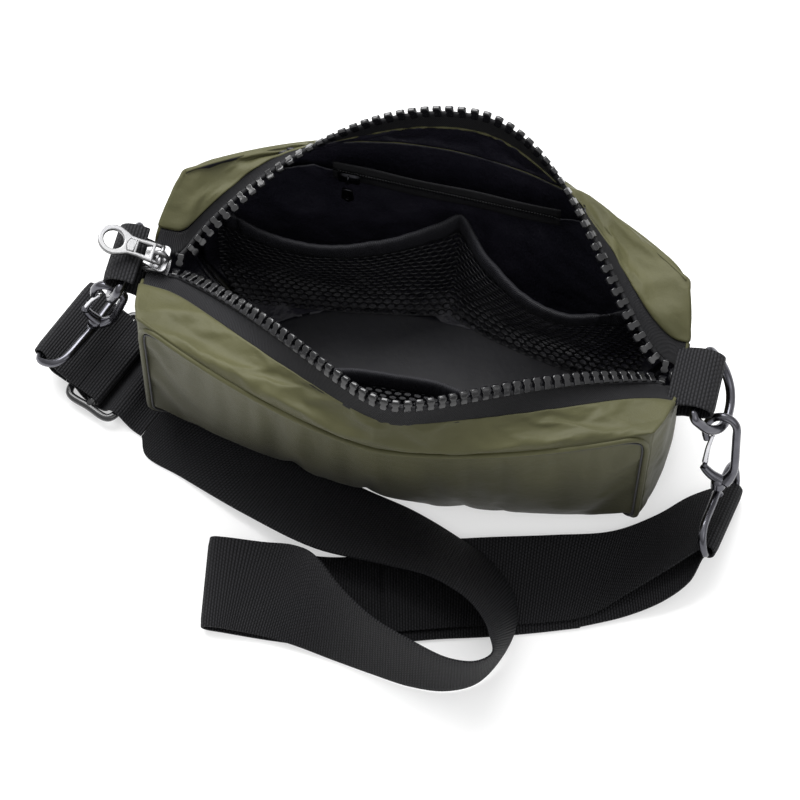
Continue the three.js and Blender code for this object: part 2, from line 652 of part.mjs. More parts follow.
function addGlide() {
  const w = 22;
  const frame = [[0, w], [RAIL_U - 2, w], [RAIL_U, w - 2], [RAIL_U, 0], [RAIL_U, 2 - w], [RAIL_U - 2, -w],
    [0, -w], [2 - RAIL_U, -w], [-RAIL_U, 2 - w], [-RAIL_U, 0], [-RAIL_U, w - 2], [2 - RAIL_U, w],
      [-0.4, w]];
  const outer = wire(frame.map(([u, v]) => glidePoint(u, v, RAIL_Z)), 1.5, 44, 6);
  const bar = wire([glidePoint(0, -w, BAR_Z), glidePoint(0, 0, BAR_Z), glidePoint(0, w, BAR_Z)],
    1.5, 4, 6);
  add('strap_adjuster', join(outer, bar), 0x101012, 0.25);
  const wrap = [[-6.9, 8.8], [-3.2, 8.5], [0, 8], [1.9, 7.2], [2.6, 5.4], [1.9, 3.6], [0, 2.8],
    [-1.9, 3.6],
    [-2.6, 5.6]];
  add('strap_bar_wrap', band(glideBand(wrap), WEB_T, 2), BLACK, 0.9);
  const weave = [[24, 1], [20, 1.3], [16.4, 3.6], [13.6, 6.4], [RAIL_U, 7.7], [8.2, 6.4],
    [6.6, 3.8], [4.6, 1.7],
    [2.2, 1], [0, 1], [-2.2, 1], [-4.6, 1.7], [-6.6, 3.8], [-8.2, 6.4], [-RAIL_U, 7.7], [-13.2, 7.5]];
  add('strap_adjuster_run', band(glideBand(weave), WEB_T, 2), BLACK, 0.9);
}

// ---- webbing strap ---------------------------------------------------------------------
// Webbing turned round a ring's bar: it comes in below the bar and leaves above it.
// `out` points from the bar back along the webbing, `across` to the webbing's first edge.
const WRAP_R = RING_WIRE + WEB_T / 2 + 0.6;

function turned(foot, hookUp, ringDown, across, out) {
  const bar = foot.clone().addScaledVector(hookUp, -2).addScaledVector(ringDown, RING_DEPTH);
  const away = out.clone().addScaledVector(across, -out.dot(across)).normalize();
  const up = away.clone().cross(across);
  if (up.z < 0) up.negate();
  const half = across.clone().multiplyScalar(WEB_W / 2);
  return [-80, -115, -150, -180, -210, -245, -280].map((degrees) => {
    const a = THREE.MathUtils.degToRad(degrees);
    const c = bar.clone().addScaledVector(away, WRAP_R * Math.cos(a)).addScaledVector(up,
      WRAP_R * Math.sin(a));
    return [c.clone().add(half).toArray(), c.clone().sub(half).toArray()];
  });
}

function leftEnd() {
  const lower = glideBand([[-13.6, 7.5], [-17, 7.8], [-20.5, 8.4]]);
  const upper = glideBand([[-18.5, 12.8], [-14, 10.8], [-10.5, 9.6], [-7.3, 9]]);
  const across = LEFT_RING_ALONG.clone().negate();
  const turn = turned(LEFT_FOOT, LEFT_UP, LEFT_RING_DOWN, across, GLIDE_ALONG);
  return [...lower, ...turn, ...upper];
}

// Stations are [left edge, right edge] along the way from the adjuster to the right hook.
const MIDDLE = [
  ...glideBand([[24.4, 0.9]]),
  [[-79.8, -19, 0.75], [-98.2, -51.6, 0.9]],
  [[-59, -29.5, 0.75], [-82, -57.5, 1.4]],
  [[-39, -36, 0.8], [-51.4, -70, 8]],
  [[-12, -44.5, 1.2], [-20, -80, 14]],
  [[13, -50.5, 2.5], [8, -83, 21]],
  [[32, -58, 4.6], [29, -87, 29]],
  [[47, -65, 4.6], [44.5, -93, 30]],
  [[59, -76, 4.6], [53, -101, 32.5]],
  [[63.5, -89, 4.6], [57, -108.5, 36.5]],
  [[61, -103, 3.4], [59.5, -116, 38.5]],
  [[54, -115, 1.4], [54.5, -121, 39]],
  [[43, -121, 1.2], [44, -122.5, 39.1]],
  [[29, -122.5, 1.2], [29, -119, 39]],
  [[13, -121, 1.2], [12, -113, 38.3]],
  [[-3, -119, 1.2], [-3, -103, 35.5]],
  [[-18, -117.5, 2.6], [-17, -89, 27.5]],
  [[-31, -117, 3.4], [-29, -80, 12]],
  [[-42, -117.6, 4.4], [-42, -79.8, 7.2]],
  [[-50, -118.5, 5.4], [-55.5, -80.9, 6.5]],
  [[-55.2, -119, 4.4], [-61.4, -81.2, 5]],
  [[-56, -119, 2.8], [-62.6, -81.3, 3.2]],
  [[-54.4, -118.8, 1.3], [-60.6, -81, 1.5]],
  [[-48, -118.3, 0.9], [-54, -80.6, 0.9]],
  [[-28, -117, 0.9], [-33, -79.3, 0.9]],
  [[-7, -114.4, 0.9], [-14, -77, 0.9]],
  [[14, -108, 0.9], [4, -71.3, 0.9]],
  [[34, -101, 0.9], [23, -64.6, 0.9]],
  [[54, -95, 0.9], [44, -58.3, 0.9]],
  [[73, -88.4, 0.9], [62, -52, 0.9]],
  [[88, -82.7, 1], [76, -46.7, 0.9]],
];
const RIGHT_UNDER = [
  [[88.4, -82.5, 1], [76.4, -46.5, 0.9]],
  [[105, -73.8, 2.4], [92, -39, 0.9]],
  [[118, -65.5, 6.6], [108, -29.5, 0.9]],
];
const RIGHT_BACK = [
  [[116.4, -55.6, 13.7], [119, -19.1, 5.9]],
  [[104, -66, 8], [107.4, -29.6, 4.2]],
  [[90, -78, 3.8], [92, -40, 3.1]],
  [[72, -85.4, 2.9], [69, -47.4, 2.9]],
  [[50, -92, 2.9], [44, -54.6, 2.9]],
  [[30, -98.6, 2.9], [21, -61.8, 2.9]],
  [[14, -104, 2.9], [4, -67.4, 2.9]],
];

function rightTurn() {
  const across = RIGHT_RING_ALONG.clone().negate();
  const turn = turned(RIGHT_FOOT, RIGHT_UP, RIGHT_RING_DOWN, across, V(-1, 0, 0));
  const start = [[[118.5, -65.1, 6.8], [108.5, -29.1, 0.9]], [[126, -57, 11], [121, -20.5, 1]]];
  return [...start, ...turn, [[117, -55, 14], [119.5, -18.6, 6]]];
}

function addStrap() {
  add('strap_left_end', band(leftEnd(), WEB_T, 2), BLACK, 0.9);
  add('strap_middle', band(MIDDLE, WEB_T, 2), BLACK, 0.9);
  add('strap_right_under', band(RIGHT_UNDER, WEB_T, 3), BLACK, 0.9);
  add('strap_right_turn', band(rightTurn(), WEB_T, 2), BLACK, 0.9);
  add('strap_sewn_end', band(RIGHT_BACK, WEB_T, 2), BLACK, 0.9);
}

addShell();
addBase();
addLining();
addPockets();
addPocketZip();
addZip();
addPull();
addHardware();
addGlide();
addStrap();

export default bag;
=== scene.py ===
import math
import random

import bmesh
import bpy
import numpy as np
from mathutils import Matrix, Vector, noise


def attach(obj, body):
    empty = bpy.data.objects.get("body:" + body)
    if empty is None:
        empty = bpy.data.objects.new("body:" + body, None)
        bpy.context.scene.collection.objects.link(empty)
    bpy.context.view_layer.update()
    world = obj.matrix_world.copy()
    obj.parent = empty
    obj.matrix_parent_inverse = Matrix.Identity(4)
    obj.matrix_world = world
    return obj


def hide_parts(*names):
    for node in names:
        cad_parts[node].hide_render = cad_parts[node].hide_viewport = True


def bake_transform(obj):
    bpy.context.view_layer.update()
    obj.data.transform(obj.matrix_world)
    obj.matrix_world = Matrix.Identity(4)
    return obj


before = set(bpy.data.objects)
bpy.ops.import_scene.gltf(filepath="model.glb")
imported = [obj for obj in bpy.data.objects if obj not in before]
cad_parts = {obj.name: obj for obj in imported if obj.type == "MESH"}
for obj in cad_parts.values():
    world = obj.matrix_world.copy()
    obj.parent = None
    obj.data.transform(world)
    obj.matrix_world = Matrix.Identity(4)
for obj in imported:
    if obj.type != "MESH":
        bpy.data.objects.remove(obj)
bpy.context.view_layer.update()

MM = 0.001
random.seed(7)


# ---- camera, light and floor ------------------------------------------------------------

CAMERA_AZIMUTH = math.radians(13.9)
CAMERA_ELEVATION = math.radians(64)
CAMERA_TARGET = Vector((0, -0.0215, 0.040))
CAMERA_DISTANCE = 1.298


def make_camera():
    across = math.cos(CAMERA_ELEVATION)
    back = Vector((
        math.sin(CAMERA_AZIMUTH) * across,
        -math.cos(CAMERA_AZIMUTH) * across,
        math.sin(CAMERA_ELEVATION),
    ))
    data = bpy.data.cameras.new("camera")
    data.sensor_width = 36
    data.lens = 148.6
    data.clip_start = 0.05
    camera = bpy.data.objects.new("camera", data)
    bpy.context.collection.objects.link(camera)
    camera.location = CAMERA_TARGET + back * CAMERA_DISTANCE
    camera.rotation_mode = "QUATERNION"
    camera.rotation_quaternion = (-back).to_track_quat("-Z", "Y")
    bpy.context.scene.camera = camera


def area_light(name, place, aim, size, power):
    data = bpy.data.lights.new(name, "AREA")
    data.shape = "RECTANGLE"
    data.size, data.size_y = size
    data.energy = power
    light = bpy.data.objects.new(name, data)
    bpy.context.collection.objects.link(light)
    light.location = place
    light.rotation_mode = "QUATERNION"
    light.rotation_quaternion = (Vector(aim) - Vector(place)).to_track_quat("-Z", "Y")


def make_stage():
    bpy.ops.mesh.primitive_plane_add(size=6, location=(0, 0, -0.0002))
    floor = bpy.context.object
    floor.name = "floor"
    pale = plain("floor", (0.55, 0.55, 0.55), 0.9)
    shader = pale.node_tree.nodes["Principled BSDF"]
    shader.inputs["Emission Color"].default_value = (1, 1, 1, 1)
    shader.inputs["Emission Strength"].default_value = 0.46
    floor.data.materials.append(pale)
    world = bpy.data.worlds.new("studio")
    bpy.context.scene.world = world
    world.use_nodes = True
    nodes, links = world.node_tree.nodes, world.node_tree.links
    nodes["Background"].inputs["Color"].default_value = (1, 1, 1, 1)
    split = nodes.new("ShaderNodeSeparateXYZ")
    links.new(nodes.new("ShaderNodeTexCoord").outputs["Generated"], split.inputs[0])
    sky = nodes.new("ShaderNodeMapRange")
    sky.inputs["To Min"].default_value = 0.4
    sky.inputs["To Max"].default_value = 1.1
    links.new(split.outputs["Z"], sky.inputs["Value"])
    links.new(sky.outputs["Result"], nodes["Background"].inputs["Strength"])
    bpy.context.scene.view_settings.view_transform = "Standard"
    area_light("key", (-0.5, 0.75, 1.2), (0, 0, 0.05), (1.5, 1.1), 44)
    area_light("fill", (0.9, -0.7, 0.9), (0, 0, 0.05), (0.8, 0.8), 2.5)


# ---- materials --------------------------------------------------------------------------


class Tree:
    """A material's nodes, with its shader at hand."""

    def __init__(self, name, color, roughness, metallic=0.0):
        self.material = bpy.data.materials.new(name)
        self.material.use_nodes = True
        self.nodes = self.material.node_tree.nodes
        self.links = self.material.node_tree.links
        self.shader = self.nodes["Principled BSDF"]
        self.shader.inputs["Base Color"].default_value = (*color, 1)
        self.shader.inputs["Roughness"].default_value = roughness
        self.shader.inputs["Metallic"].default_value = metallic

    def put(self, socket, value):
        if isinstance(value, bpy.types.NodeSocket):
            self.links.new(value, socket)
        else:
            socket.default_value = value

    def math(self, operation, *values):
        node = self.nodes.new("ShaderNodeMath")
        node.operation = operation
        for socket, value in zip(node.inputs, values):
            self.put(socket, value)
        return node.outputs[0]

    def uv(self):
        """The piece's own cloth coordinates, in millimetres."""
        node = self.nodes.new("ShaderNodeUVMap")
        node.uv_map = "cloth"
        split = self.nodes.new("ShaderNodeSeparateXYZ")
        self.links.new(node.outputs["UV"], split.inputs[0])
        return split.outputs["X"], split.outputs["Y"]

    def place(self):
        return self.nodes.new("ShaderNodeTexCoord").outputs["Object"]

    def noise(self, scale, detail=3, rough=0.55):
        node = self.nodes.new("ShaderNodeTexNoise")
        node.inputs["Scale"].default_value = scale
        node.inputs["Detail"].default_value = detail
        node.inputs["Roughness"].default_value = rough
        self.links.new(self.place(), node.inputs["Vector"])
        return node.outputs["Fac"]

    def ramp(self, value, low, high, start=0.3, end=0.7):
        node = self.nodes.new("ShaderNodeValToRGB")
        node.color_ramp.elements[0].position = start
        node.color_ramp.elements[1].position = end
        node.color_ramp.elements[0].color = (*low, 1)
        node.color_ramp.elements[1].color = (*high, 1)
        self.links.new(value, node.inputs["Fac"])
        return node.outputs["Color"]

    def painted_shade_below(self, color, share, top):
        """Painted shade: the color, darkened down to a share of itself at the floor and whole from the
        given height.
        """
        split = self.nodes.new("ShaderNodeSeparateXYZ")
        self.links.new(self.place(), split.inputs[0])
        rise = self.math("MULTIPLY_ADD", split.outputs["Z"], (1 - share) / top, share)
        mix = self.nodes.new("ShaderNodeMix")
        mix.data_type = "RGBA"
        mix.blend_type = "MULTIPLY"
        mix.inputs["Factor"].default_value = 1
        self.links.new(color, mix.inputs[6])
        self.links.new(self.math("MINIMUM", rise, 1), mix.inputs[7])
        return mix.outputs[2]

    def bump(self, height, distance, strength=1.0, below=None):
        node = self.nodes.new("ShaderNodeBump")
        node.inputs["Strength"].default_value = strength
        node.inputs["Distance"].default_value = distance
        self.links.new(height, node.inputs["Height"])
        if below is not None:
            self.links.new(below, node.inputs["Normal"])
        return node.outputs["Normal"]


def plain(name, color, roughness, metallic=0.0):
    return Tree(name, color, roughness, metallic).material


def twill(t, u, v, pitch, angle=0.6):
    """Fine diagonal ribs, from 0 to 1."""
    slant = t.math("ADD", u, t.math("MULTIPLY", v, angle))
    return t.math("ABSOLUTE", t.math("SINE", t.math("MULTIPLY", slant, math.pi / pitch)))


def cloth(name, low, high, roughness, pitch, depth, sheen=0.0, creases=0.0, foot=1.0):
    t = Tree(name, high, roughness)
    u, v = t.uv()
    color = t.ramp(t.noise(28, 4), low, high)
    # a foot below 1 paints shade into the colour, darker towards the floor
    if foot < 1:
        color = t.painted_shade_below(color, foot, 0.08)
    t.links.new(color, t.shader.inputs["Base Color"])
    weave = twill(t, u, v, pitch)
    normal = t.bump(weave, depth)
    if creases:
        normal = t.bump(t.noise(60, 5, 0.6), creases, 1.0, normal)
    t.links.new(normal, t.shader.inputs["Normal"])
    t.shader.inputs["Sheen Weight"].default_value = sheen
    t.shader.inputs["Sheen Roughness"].default_value = 0.5
    t.shader.inputs["Specular IOR Level"].default_value = 0.3
    return t.material


def webbing(name, rib, across, depth, low, high):
    """Woven tape: ribs across the width, broken by the crossing yarns; its colour is painted shade in
    the grooves and painted light on the rib tops.
    """
    t = Tree(name, high, 0.7)
    u, v = t.uv()
    rows = t.math("ABSOLUTE", t.math("SINE", t.math("MULTIPLY", u, math.pi / rib)))
    shift = t.math("MULTIPLY", t.math("FLOOR", t.math("DIVIDE", u, rib)), math.pi / 2)
    angle = t.math("ADD", t.math("MULTIPLY", v, math.pi / across), shift)
    yarns = t.math("ABSOLUTE", t.math("SINE", angle))
    height = t.math("MULTIPLY", rows, t.math("ADD", t.math("MULTIPLY", yarns, 0.6), 0.4))
    # painted shade and light: the colour follows the weave's height, dark in the grooves, light on the
    # ribs
    t.links.new(t.ramp(height, low, high, 0.1, 0.8), t.shader.inputs["Base Color"])
    t.links.new(t.bump(height, depth), t.shader.inputs["Normal"])
    t.shader.inputs["Specular IOR Level"].default_value = 0.16
    return t.material


def mesh_cloth(name):
    """Knitted mesh with staggered rows of oval holes."""
    t = Tree(name, (0.009, 0.009, 0.011), 0.55)
    u, v = t.uv()
    row = t.math("FLOOR", t.math("DIVIDE", v, 2.6))
    shifted = t.math("ADD", u, t.math("MULTIPLY", row, 1.9))
    cu = t.math("SUBTRACT", t.math("FRACT", t.math("DIVIDE", shifted, 3.8)), 0.5)
    cv = t.math("SUBTRACT", t.math("FRACT", t.math("DIVIDE", v, 2.6)), 0.5)
    du = t.math("POWER", t.math("ABSOLUTE", t.math("DIVIDE", cu, 0.34)), 2)
    dv = t.math("POWER", t.math("ABSOLUTE", t.math("DIVIDE", cv, 0.33)), 2)
    away = t.math("ADD", du, dv)
    solid = t.math("GREATER_THAN", away, 1.0)
    t.links.new(solid, t.shader.inputs["Alpha"])
    rim = t.math("MINIMUM", away, 2.2)
    t.links.new(t.bump(rim, 0.0006), t.shader.inputs["Normal"])
    return t.material


def metal(name, low, high, roughness, scale=120):
    t = Tree(name, high, roughness, 1.0)
    wear = t.noise(scale, 4)
    t.links.new(t.ramp(wear, low, high), t.shader.inputs["Base Color"])
    t.links.new(t.bump(t.noise(900, 2), 0.00002), t.shader.inputs["Normal"])
    return t.material


def moulded(name, color, roughness):
    t = Tree(name, color, roughness)
    t.links.new(t.bump(t.noise(700, 2), 0.00003), t.shader.inputs["Normal"])
    t.shader.inputs["Specular IOR Level"].default_value = 0.6
    return t.material


def make_materials():
    return {
        # the olive's last argument, 0.2, is painted shade: down to a fifth of its colour at the floor
        "olive": cloth("olive_cloth", (0.048, 0.047, 0.017), (0.066, 0.064, 0.024), 0.58, 0.35, 0.00003,
                       0.05, 0.0007, 0.2),
        "lining": cloth("lining_cloth", (0.007, 0.007, 0.011), (0.013, 0.012, 0.019), 0.38, 0.3, 0.00002,
                        0.0, 0.0022),
        # a darker, duller copy of the lining for the bag's inside floor: painted shade
        "floor_lining_painted_shade": cloth("floor_lining_cloth", (0.003, 0.003, 0.005), (0.006, 0.006, 0.009), 0.55,
                              0.3, 0.00002, 0.0, 0.0006),
        "tape": cloth("zip_tape_cloth", (0.004, 0.004, 0.005), (0.009, 0.009, 0.011), 0.7, 0.8, 0.0003),
        "binding": cloth("binding_cloth", (0.008, 0.008, 0.010), (0.014, 0.014, 0.018), 0.6, 0.8,
                         0.0002),
        # in both webbings the low colour is painted shade in the weave's grooves, the high colour
        # painted light on the rib tops
        "webbing": webbing("strap_webbing", 1.15, 1.5, 0.0004, (0.001, 0.001, 0.0012),
                           (0.014, 0.014, 0.016)),
        "tab": webbing("tab_webbing", 1.3, 1.9, 0.0004, (0.003, 0.003, 0.0035), (0.016, 0.016, 0.018)),
        "mesh": mesh_cloth("mesh_cloth"),
        "teeth": moulded("tooth_plastic", (0.005, 0.005, 0.006), 0.2),
        "plastic": moulded("adjuster_plastic", (0.010, 0.010, 0.011), 0.2),
        "nickel": metal("nickel", (0.21, 0.21, 0.22), (0.25, 0.25, 0.25), 0.38, 60),
        "gunmetal": metal("gunmetal", (0.07, 0.07, 0.08), (0.12, 0.12, 0.135), 0.23),
        "steel": metal("spring_steel", (0.45, 0.45, 0.47), (0.6, 0.6, 0.62), 0.22),
        "black_metal": metal("black_metal", (0.02, 0.02, 0.022), (0.035, 0.035, 0.04), 0.3),
        # a dark line laid in the seam groove as painted shade
        "painted_groove_shade": plain("painted_groove_shade", (0.02, 0.02, 0.022), 0.7),
    }


# ---- mesh helpers -----------------------------------------------------------------------


def object_from(name, points, faces, uvs, material, smooth=True):
    """A mesh object from millimetre points, with cloth coordinates at each point."""
    mesh = bpy.data.meshes.new(name)
    mesh.from_pydata([tuple(np.asarray(p) * MM) for p in points], [], faces)
    if uvs is not None:
        layer = mesh.uv_layers.new(name="cloth")
        for loop in mesh.loops:
            layer.data[loop.index].uv = uvs[loop.vertex_index]
    mesh.materials.append(material)
    if smooth:
        mesh.polygons.foreach_set("use_smooth", [True] * len(mesh.polygons))
    obj = bpy.data.objects.new(name, mesh)
    bpy.context.collection.objects.link(obj)
    return obj


def grid(name, surface, u_range, v_range, counts, material):
    """An open sheet sampled from surface(u, v), with cloth coordinates along its two ways."""
    nu, nv = counts
    us = np.linspace(*u_range, nu + 1)
    vs = np.linspace(*v_range, nv + 1)
    points = np.array([[surface(u, v) for v in vs] for u in us])
    along = np.zeros((nu + 1, nv + 1))
    up = np.zeros((nu + 1, nv + 1))
    along[1:] = np.cumsum(np.linalg.norm(np.diff(points, axis=0), axis=2), axis=0)
    up[:, 1:] = np.cumsum(np.linalg.norm(np.diff(points, axis=1), axis=2), axis=1)
    middle = along[nu // 2].copy()
    along += middle.mean() - middle[None, :]
    w = nv + 1
    faces = [
        (i * w + j, (i + 1) * w + j, (i + 1) * w + j + 1, i * w + j + 1)
        for i in range(nu) for j in range(nv)
    ]
    uvs = np.stack([along.ravel(), up.ravel()], axis=1)
    return object_from(name, points.reshape(-1, 3), faces, uvs, material)


def thicken(obj, thickness, offset=-1.0, smooth=1):
    if smooth:
        subdivide = obj.modifiers.new("smooth", "SUBSURF")
        subdivide.levels = subdivide.render_levels = smooth
    solid = obj.modifiers.new("thick", "SOLIDIFY")
    solid.thickness = thickness * MM
    solid.offset = offset
    return obj


def face_away(obj, inside):
    """Turns an open sheet's faces to point away from a point inside the bag."""
    centre = Vector(inside) * MM
    total = sum((p.center - centre).dot(p.normal) * p.area for p in obj.data.polygons)
    if total < 0:
        obj.data.flip_normals()
    return obj


def centripetal(stations, count):
    """A smooth line of count + 1 points through the stations."""
    p = np.array(stations, float)
    p = np.vstack([2 * p[0] - p[1], p, 2 * p[-1] - p[-2]])
    out = []
    spans = len(p) - 3
    for k in range(count + 1):
        t = k / count * spans
        i = min(int(t), spans - 1)
        f = t - i
        q = p[i:i + 4]
        spans_apart = np.sqrt(np.linalg.norm(np.diff(q, axis=0), axis=1)) + 1e-9
        knots = np.concatenate([[0], np.cumsum(spans_apart)])
        x = knots[1] + f * (knots[2] - knots[1])
        a = [
            ((knots[j + 1] - x) * q[j] + (x - knots[j]) * q[j + 1]) / (knots[j + 1] - knots[j])
            for j in range(3)
        ]
        b = [
            ((knots[j + 2] - x) * a[j] + (x - knots[j]) * a[j + 1]) / (knots[j + 2] - knots[j])
            for j in range(2)
        ]
        out.append(((knots[2] - x) * b[0] + (x - knots[1]) * b[1]) / (knots[2] - knots[1]))
    return np.array(out)


def tape_strip(name, stations, thickness, per_station, material, across=6):
    """Flat webbing between two edge lines, with a rounded section and its cloth coordinates."""
    count = (len(stations) - 1) * per_station
    left = centripetal([s[0] for s in stations], count)
    right = centripetal([s[1] for s in stations], count)
    centre = (left + right) / 2
    along = np.concatenate([[0], np.cumsum(np.linalg.norm(np.diff(centre, axis=0), axis=1))])
    forward = np.gradient(centre, axis=0)
    points, uvs = [], []
    for k in range(count + 1):
        side = right[k] - left[k]
        width = np.linalg.norm(side)
        n = np.cross(forward[k], side)
        n /= np.linalg.norm(n)
        loop = [(j / across, 1.0) for j in range(across + 1)]
        loop += [(1 - j / across, -1.0) for j in range(across + 1)]
        for share, face in loop:
            edge = min(share, 1 - share) * width
            half = thickness / 2 * (0.55 if edge < 1e-6 else 1.0)
            points.append(left[k] + side * share + n * half * face)
            uvs.append((along[k], share * width))
    m = 2 * (across + 1)
    faces = []
    for k in range(count):
        for j in range(m):
            a, b = k * m + j, k * m + (j + 1) % m
            faces.append((a, a + m, b + m, b))
    faces.append(tuple(range(m)))
    faces.append(tuple(reversed(range(count * m, (count + 1) * m))))
    obj = object_from(name, points, faces, uvs, material)
    mesh = bmesh.new()
    mesh.from_mesh(obj.data)
    bmesh.ops.recalc_face_normals(mesh, faces=mesh.faces)
    mesh.to_mesh(obj.data)
    mesh.free()
    edge = obj.modifiers.new("edges", "EDGE_SPLIT")
    edge.split_angle = math.radians(50)
    return obj, along[-1] * MM


def sweep(name, line, radius, material, sides=14, flat=1.0, closed=False):
    """A wire along a line of points; flat below 1 presses its section."""
    p = np.array(line, float)
    radii = np.full(len(p), radius) if np.isscalar(radius) else np.array(radius)
    forward = np.gradient(p, axis=0)
    if closed:
        forward = np.roll(p, -1, axis=0) - np.roll(p, 1, axis=0)
    forward /= np.linalg.norm(forward, axis=1)[:, None]
    normal = np.cross(forward[0], [0.3, 0.2, 0.9])
    normal /= np.linalg.norm(normal)
    points = []
    for k in range(len(p)):
        normal -= forward[k] * normal.dot(forward[k])
        normal /= np.linalg.norm(normal)
        other = np.cross(forward[k], normal)
        for j in range(sides):
            a = 2 * math.pi * j / sides
            points.append(p[k] + radii[k] * (math.cos(a) * normal + flat * math.sin(a) * other))
    faces = []
    rows = len(p) if closed else len(p) - 1
    for k in range(rows):
        for j in range(sides):
            a, b = k * sides + j, k * sides + (j + 1) % sides
            c = ((k + 1) % len(p)) * sides
            faces.append((a, b, c + (j + 1) % sides, c + j))
    if not closed:
        faces.append(tuple(reversed(range(sides))))
        faces.append(tuple(range((len(p) - 1) * sides, len(p) * sides)))
    return object_from(name, points, faces, None, material)


def joined(name, objects):
    """Several objects made into one, with their modifiers applied."""
    bpy.context.view_layer.update()
    graph = bpy.context.evaluated_depsgraph_get()
    mesh = bmesh.new()
    materials = []
    for obj in objects:
        part = bpy.data.meshes.new_from_object(obj.evaluated_get(graph))
        part.transform(obj.matrix_world)
        base = len(materials)
        materials.extend(part.materials)
        for polygon in part.polygons:
            polygon.material_index += base
        mesh.from_mesh(part)
        bpy.data.meshes.remove(part)
        bpy.data.objects.remove(obj)
    data = bpy.data.meshes.new(name)
    mesh.to_mesh(data)
    mesh.free()
    for material in materials:
        data.materials.append(material)
    result = bpy.data.objects.new(name, data)
    bpy.context.collection.objects.link(result)
    return result


def bevelled_box(name, size, centre, material, bevel=0.3, segments=2):
    mesh = bmesh.new()
    bmesh.ops.create_cube(mesh, size=1)
    for vertex in mesh.verts:
        vertex.co = Vector([(vertex.co[i] * size[i] + centre[i]) * MM for i in range(3)])
    bmesh.ops.bevel(mesh, geom=mesh.edges[:], offset=bevel * MM, segments=segments, affect="EDGES")
    data = bpy.data.meshes.new(name)
    mesh.to_mesh(data)
    mesh.free()
    data.materials.append(material)
    data.polygons.foreach_set("use_smooth", [True] * len(data.polygons))
    obj = bpy.data.objects.new(name, data)
    bpy.context.collection.objects.link(obj)
    return obj


def plate(name, outline, holes, thickness, material, bevel=0.25):
    """A flat plate from an outline in X and Y with holes, bevelled round its edges."""
    curve = bpy.data.curves.new(name, "CURVE")
    curve.dimensions = "2D"
    curve.fill_mode = "BOTH"
    for ring in [outline, *holes]:
        spline = curve.splines.new("POLY")
        spline.points.add(len(ring) - 1)
        spline.use_cyclic_u = True
        for point, (x, y) in zip(spline.points, ring):
            point.co = (x * MM, y * MM, 0, 1)
    curve.extrude = (thickness / 2 - bevel) * MM
    curve.bevel_depth = bevel * MM
    curve.bevel_resolution = 2
    curve.offset = -bevel * MM
    made = bpy.data.objects.new(name + "_curve", curve)
    bpy.context.collection.objects.link(made)
    bpy.context.view_layer.update()
    graph = bpy.context.evaluated_depsgraph_get()
    data = bpy.data.meshes.new_from_object(made.evaluated_get(graph))
    bpy.data.objects.remove(made)
    data.materials.clear()
    data.materials.append(material)
    obj = bpy.data.objects.new(name, data)
    bpy.context.collection.objects.link(obj)
    return obj


def arc(centre, radius, start, end, count):
    return [
        (centre[0] + radius * math.cos(a), centre[1] + radius * math.sin(a))
        for a in np.linspace(math.radians(start), math.radians(end), count)
    ]


def keep(obj, body, slot, *nodes):
    """Puts a finished piece on its body in place of its CAD nodes."""
    if nodes:
        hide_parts(*nodes)
    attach(obj, body)
    return obj


# ---- the bag's surfaces, in millimetres -------------------------------------------------

SEAM_X, SEAM_Z, SEAM_DIP = 101.0, 85.0, 5.0
BASE_LEFT, BASE_RIGHT, BASE_Y, BASE_BOW = 60.0, 78.0, 12.0, 20.0
WALL_END_Y, WALL_BOW = 36.0, 13.0
FRONT_LEAN, BACK_LEAN = 17.0, 26.0
ROUND_V, ROUND_Z, SIDE_BULGE = 0.4, 18.0, 6.0
ZIP_END_Z, LIP_RISE, LIP_GAP = 70.0, 36.0, 4.8
LIP_LEFT, LIP_RIGHT = -94.0, 98.0
TAPE_W = 9.0


def mid(s):
    return 1 - s * s


def rounding(v, top):
    if v < ROUND_V:
        angle = v / ROUND_V * math.pi / 2
        return math.sin(angle), ROUND_Z * (1 - math.cos(angle))
    return 1.0, ROUND_Z + (top - ROUND_Z) * (v - ROUND_V) / (1 - ROUND_V)


def wall(s, v, facing, lean, end_lean):
    out, z = rounding(v, SEAM_Z - SEAM_DIP * mid(s))
    end = BASE_LEFT if s < 0 else BASE_RIGHT
    x = s * (end + (SEAM_X - end) * out)
    base = BASE_Y + BASE_BOW * (1 - abs(s) ** 2.6)
    bow = 1 - abs(s) ** 1.5 if facing < 0 else mid(s)
    full = WALL_END_Y + WALL_BOW * bow
    y = base + (full - base) * out + (lean * bow - end_lean) * z / SEAM_Z
    return np.array([x, facing * y, z])


def front_wall(s, v):
    return wall(s, v, -1, FRONT_LEAN, 3)


def back_wall(s, v):
    return wall(s, v, 1, BACK_LEAN, 2)


def side_wall(t, v, hand):
    line = ZIP_END_Z - 0.4 + (SEAM_Z - ZIP_END_Z) * min(max((abs(t) - 0.13) / 0.87, 0), 1)
    notch = min(max((abs(t) - 0.18) / 0.12, 0), 1) if hand < 0 else 1.0
    out, z = rounding(v, 64.5 + (line - 64.5) * notch * notch * (3 - 2 * notch))
    end = BASE_LEFT if hand < 0 else BASE_RIGHT
    x = end + (SEAM_X - end) * out + SIDE_BULGE * mid(t) * out
    base = BASE_Y + (WALL_END_Y - BASE_Y) * out
    low, high = -base + 3 * z / SEAM_Z, base - 2 * z / SEAM_Z
    return np.array([hand * x, low + (high - low) * (t + 1) / 2, z])


def lip_share(x, apex):
    share = (apex - x) / (apex - LIP_LEFT) if x < apex else (x - apex) / (LIP_RIGHT - apex)
    return min(max(share, 0.0), 1.0)


def front_lip(s):
    x = 102.5 * s
    q = lip_share(x, 4)
    soft = 0.14
    tent = 1 - (math.hypot(q, soft) - soft) / (math.hypot(1, soft) - soft)
    return np.array([x, -LIP_GAP - 52 * max(tent, 0) ** 1.1, ZIP_END_Z + LIP_RISE * (1 - q ** 1.7)])


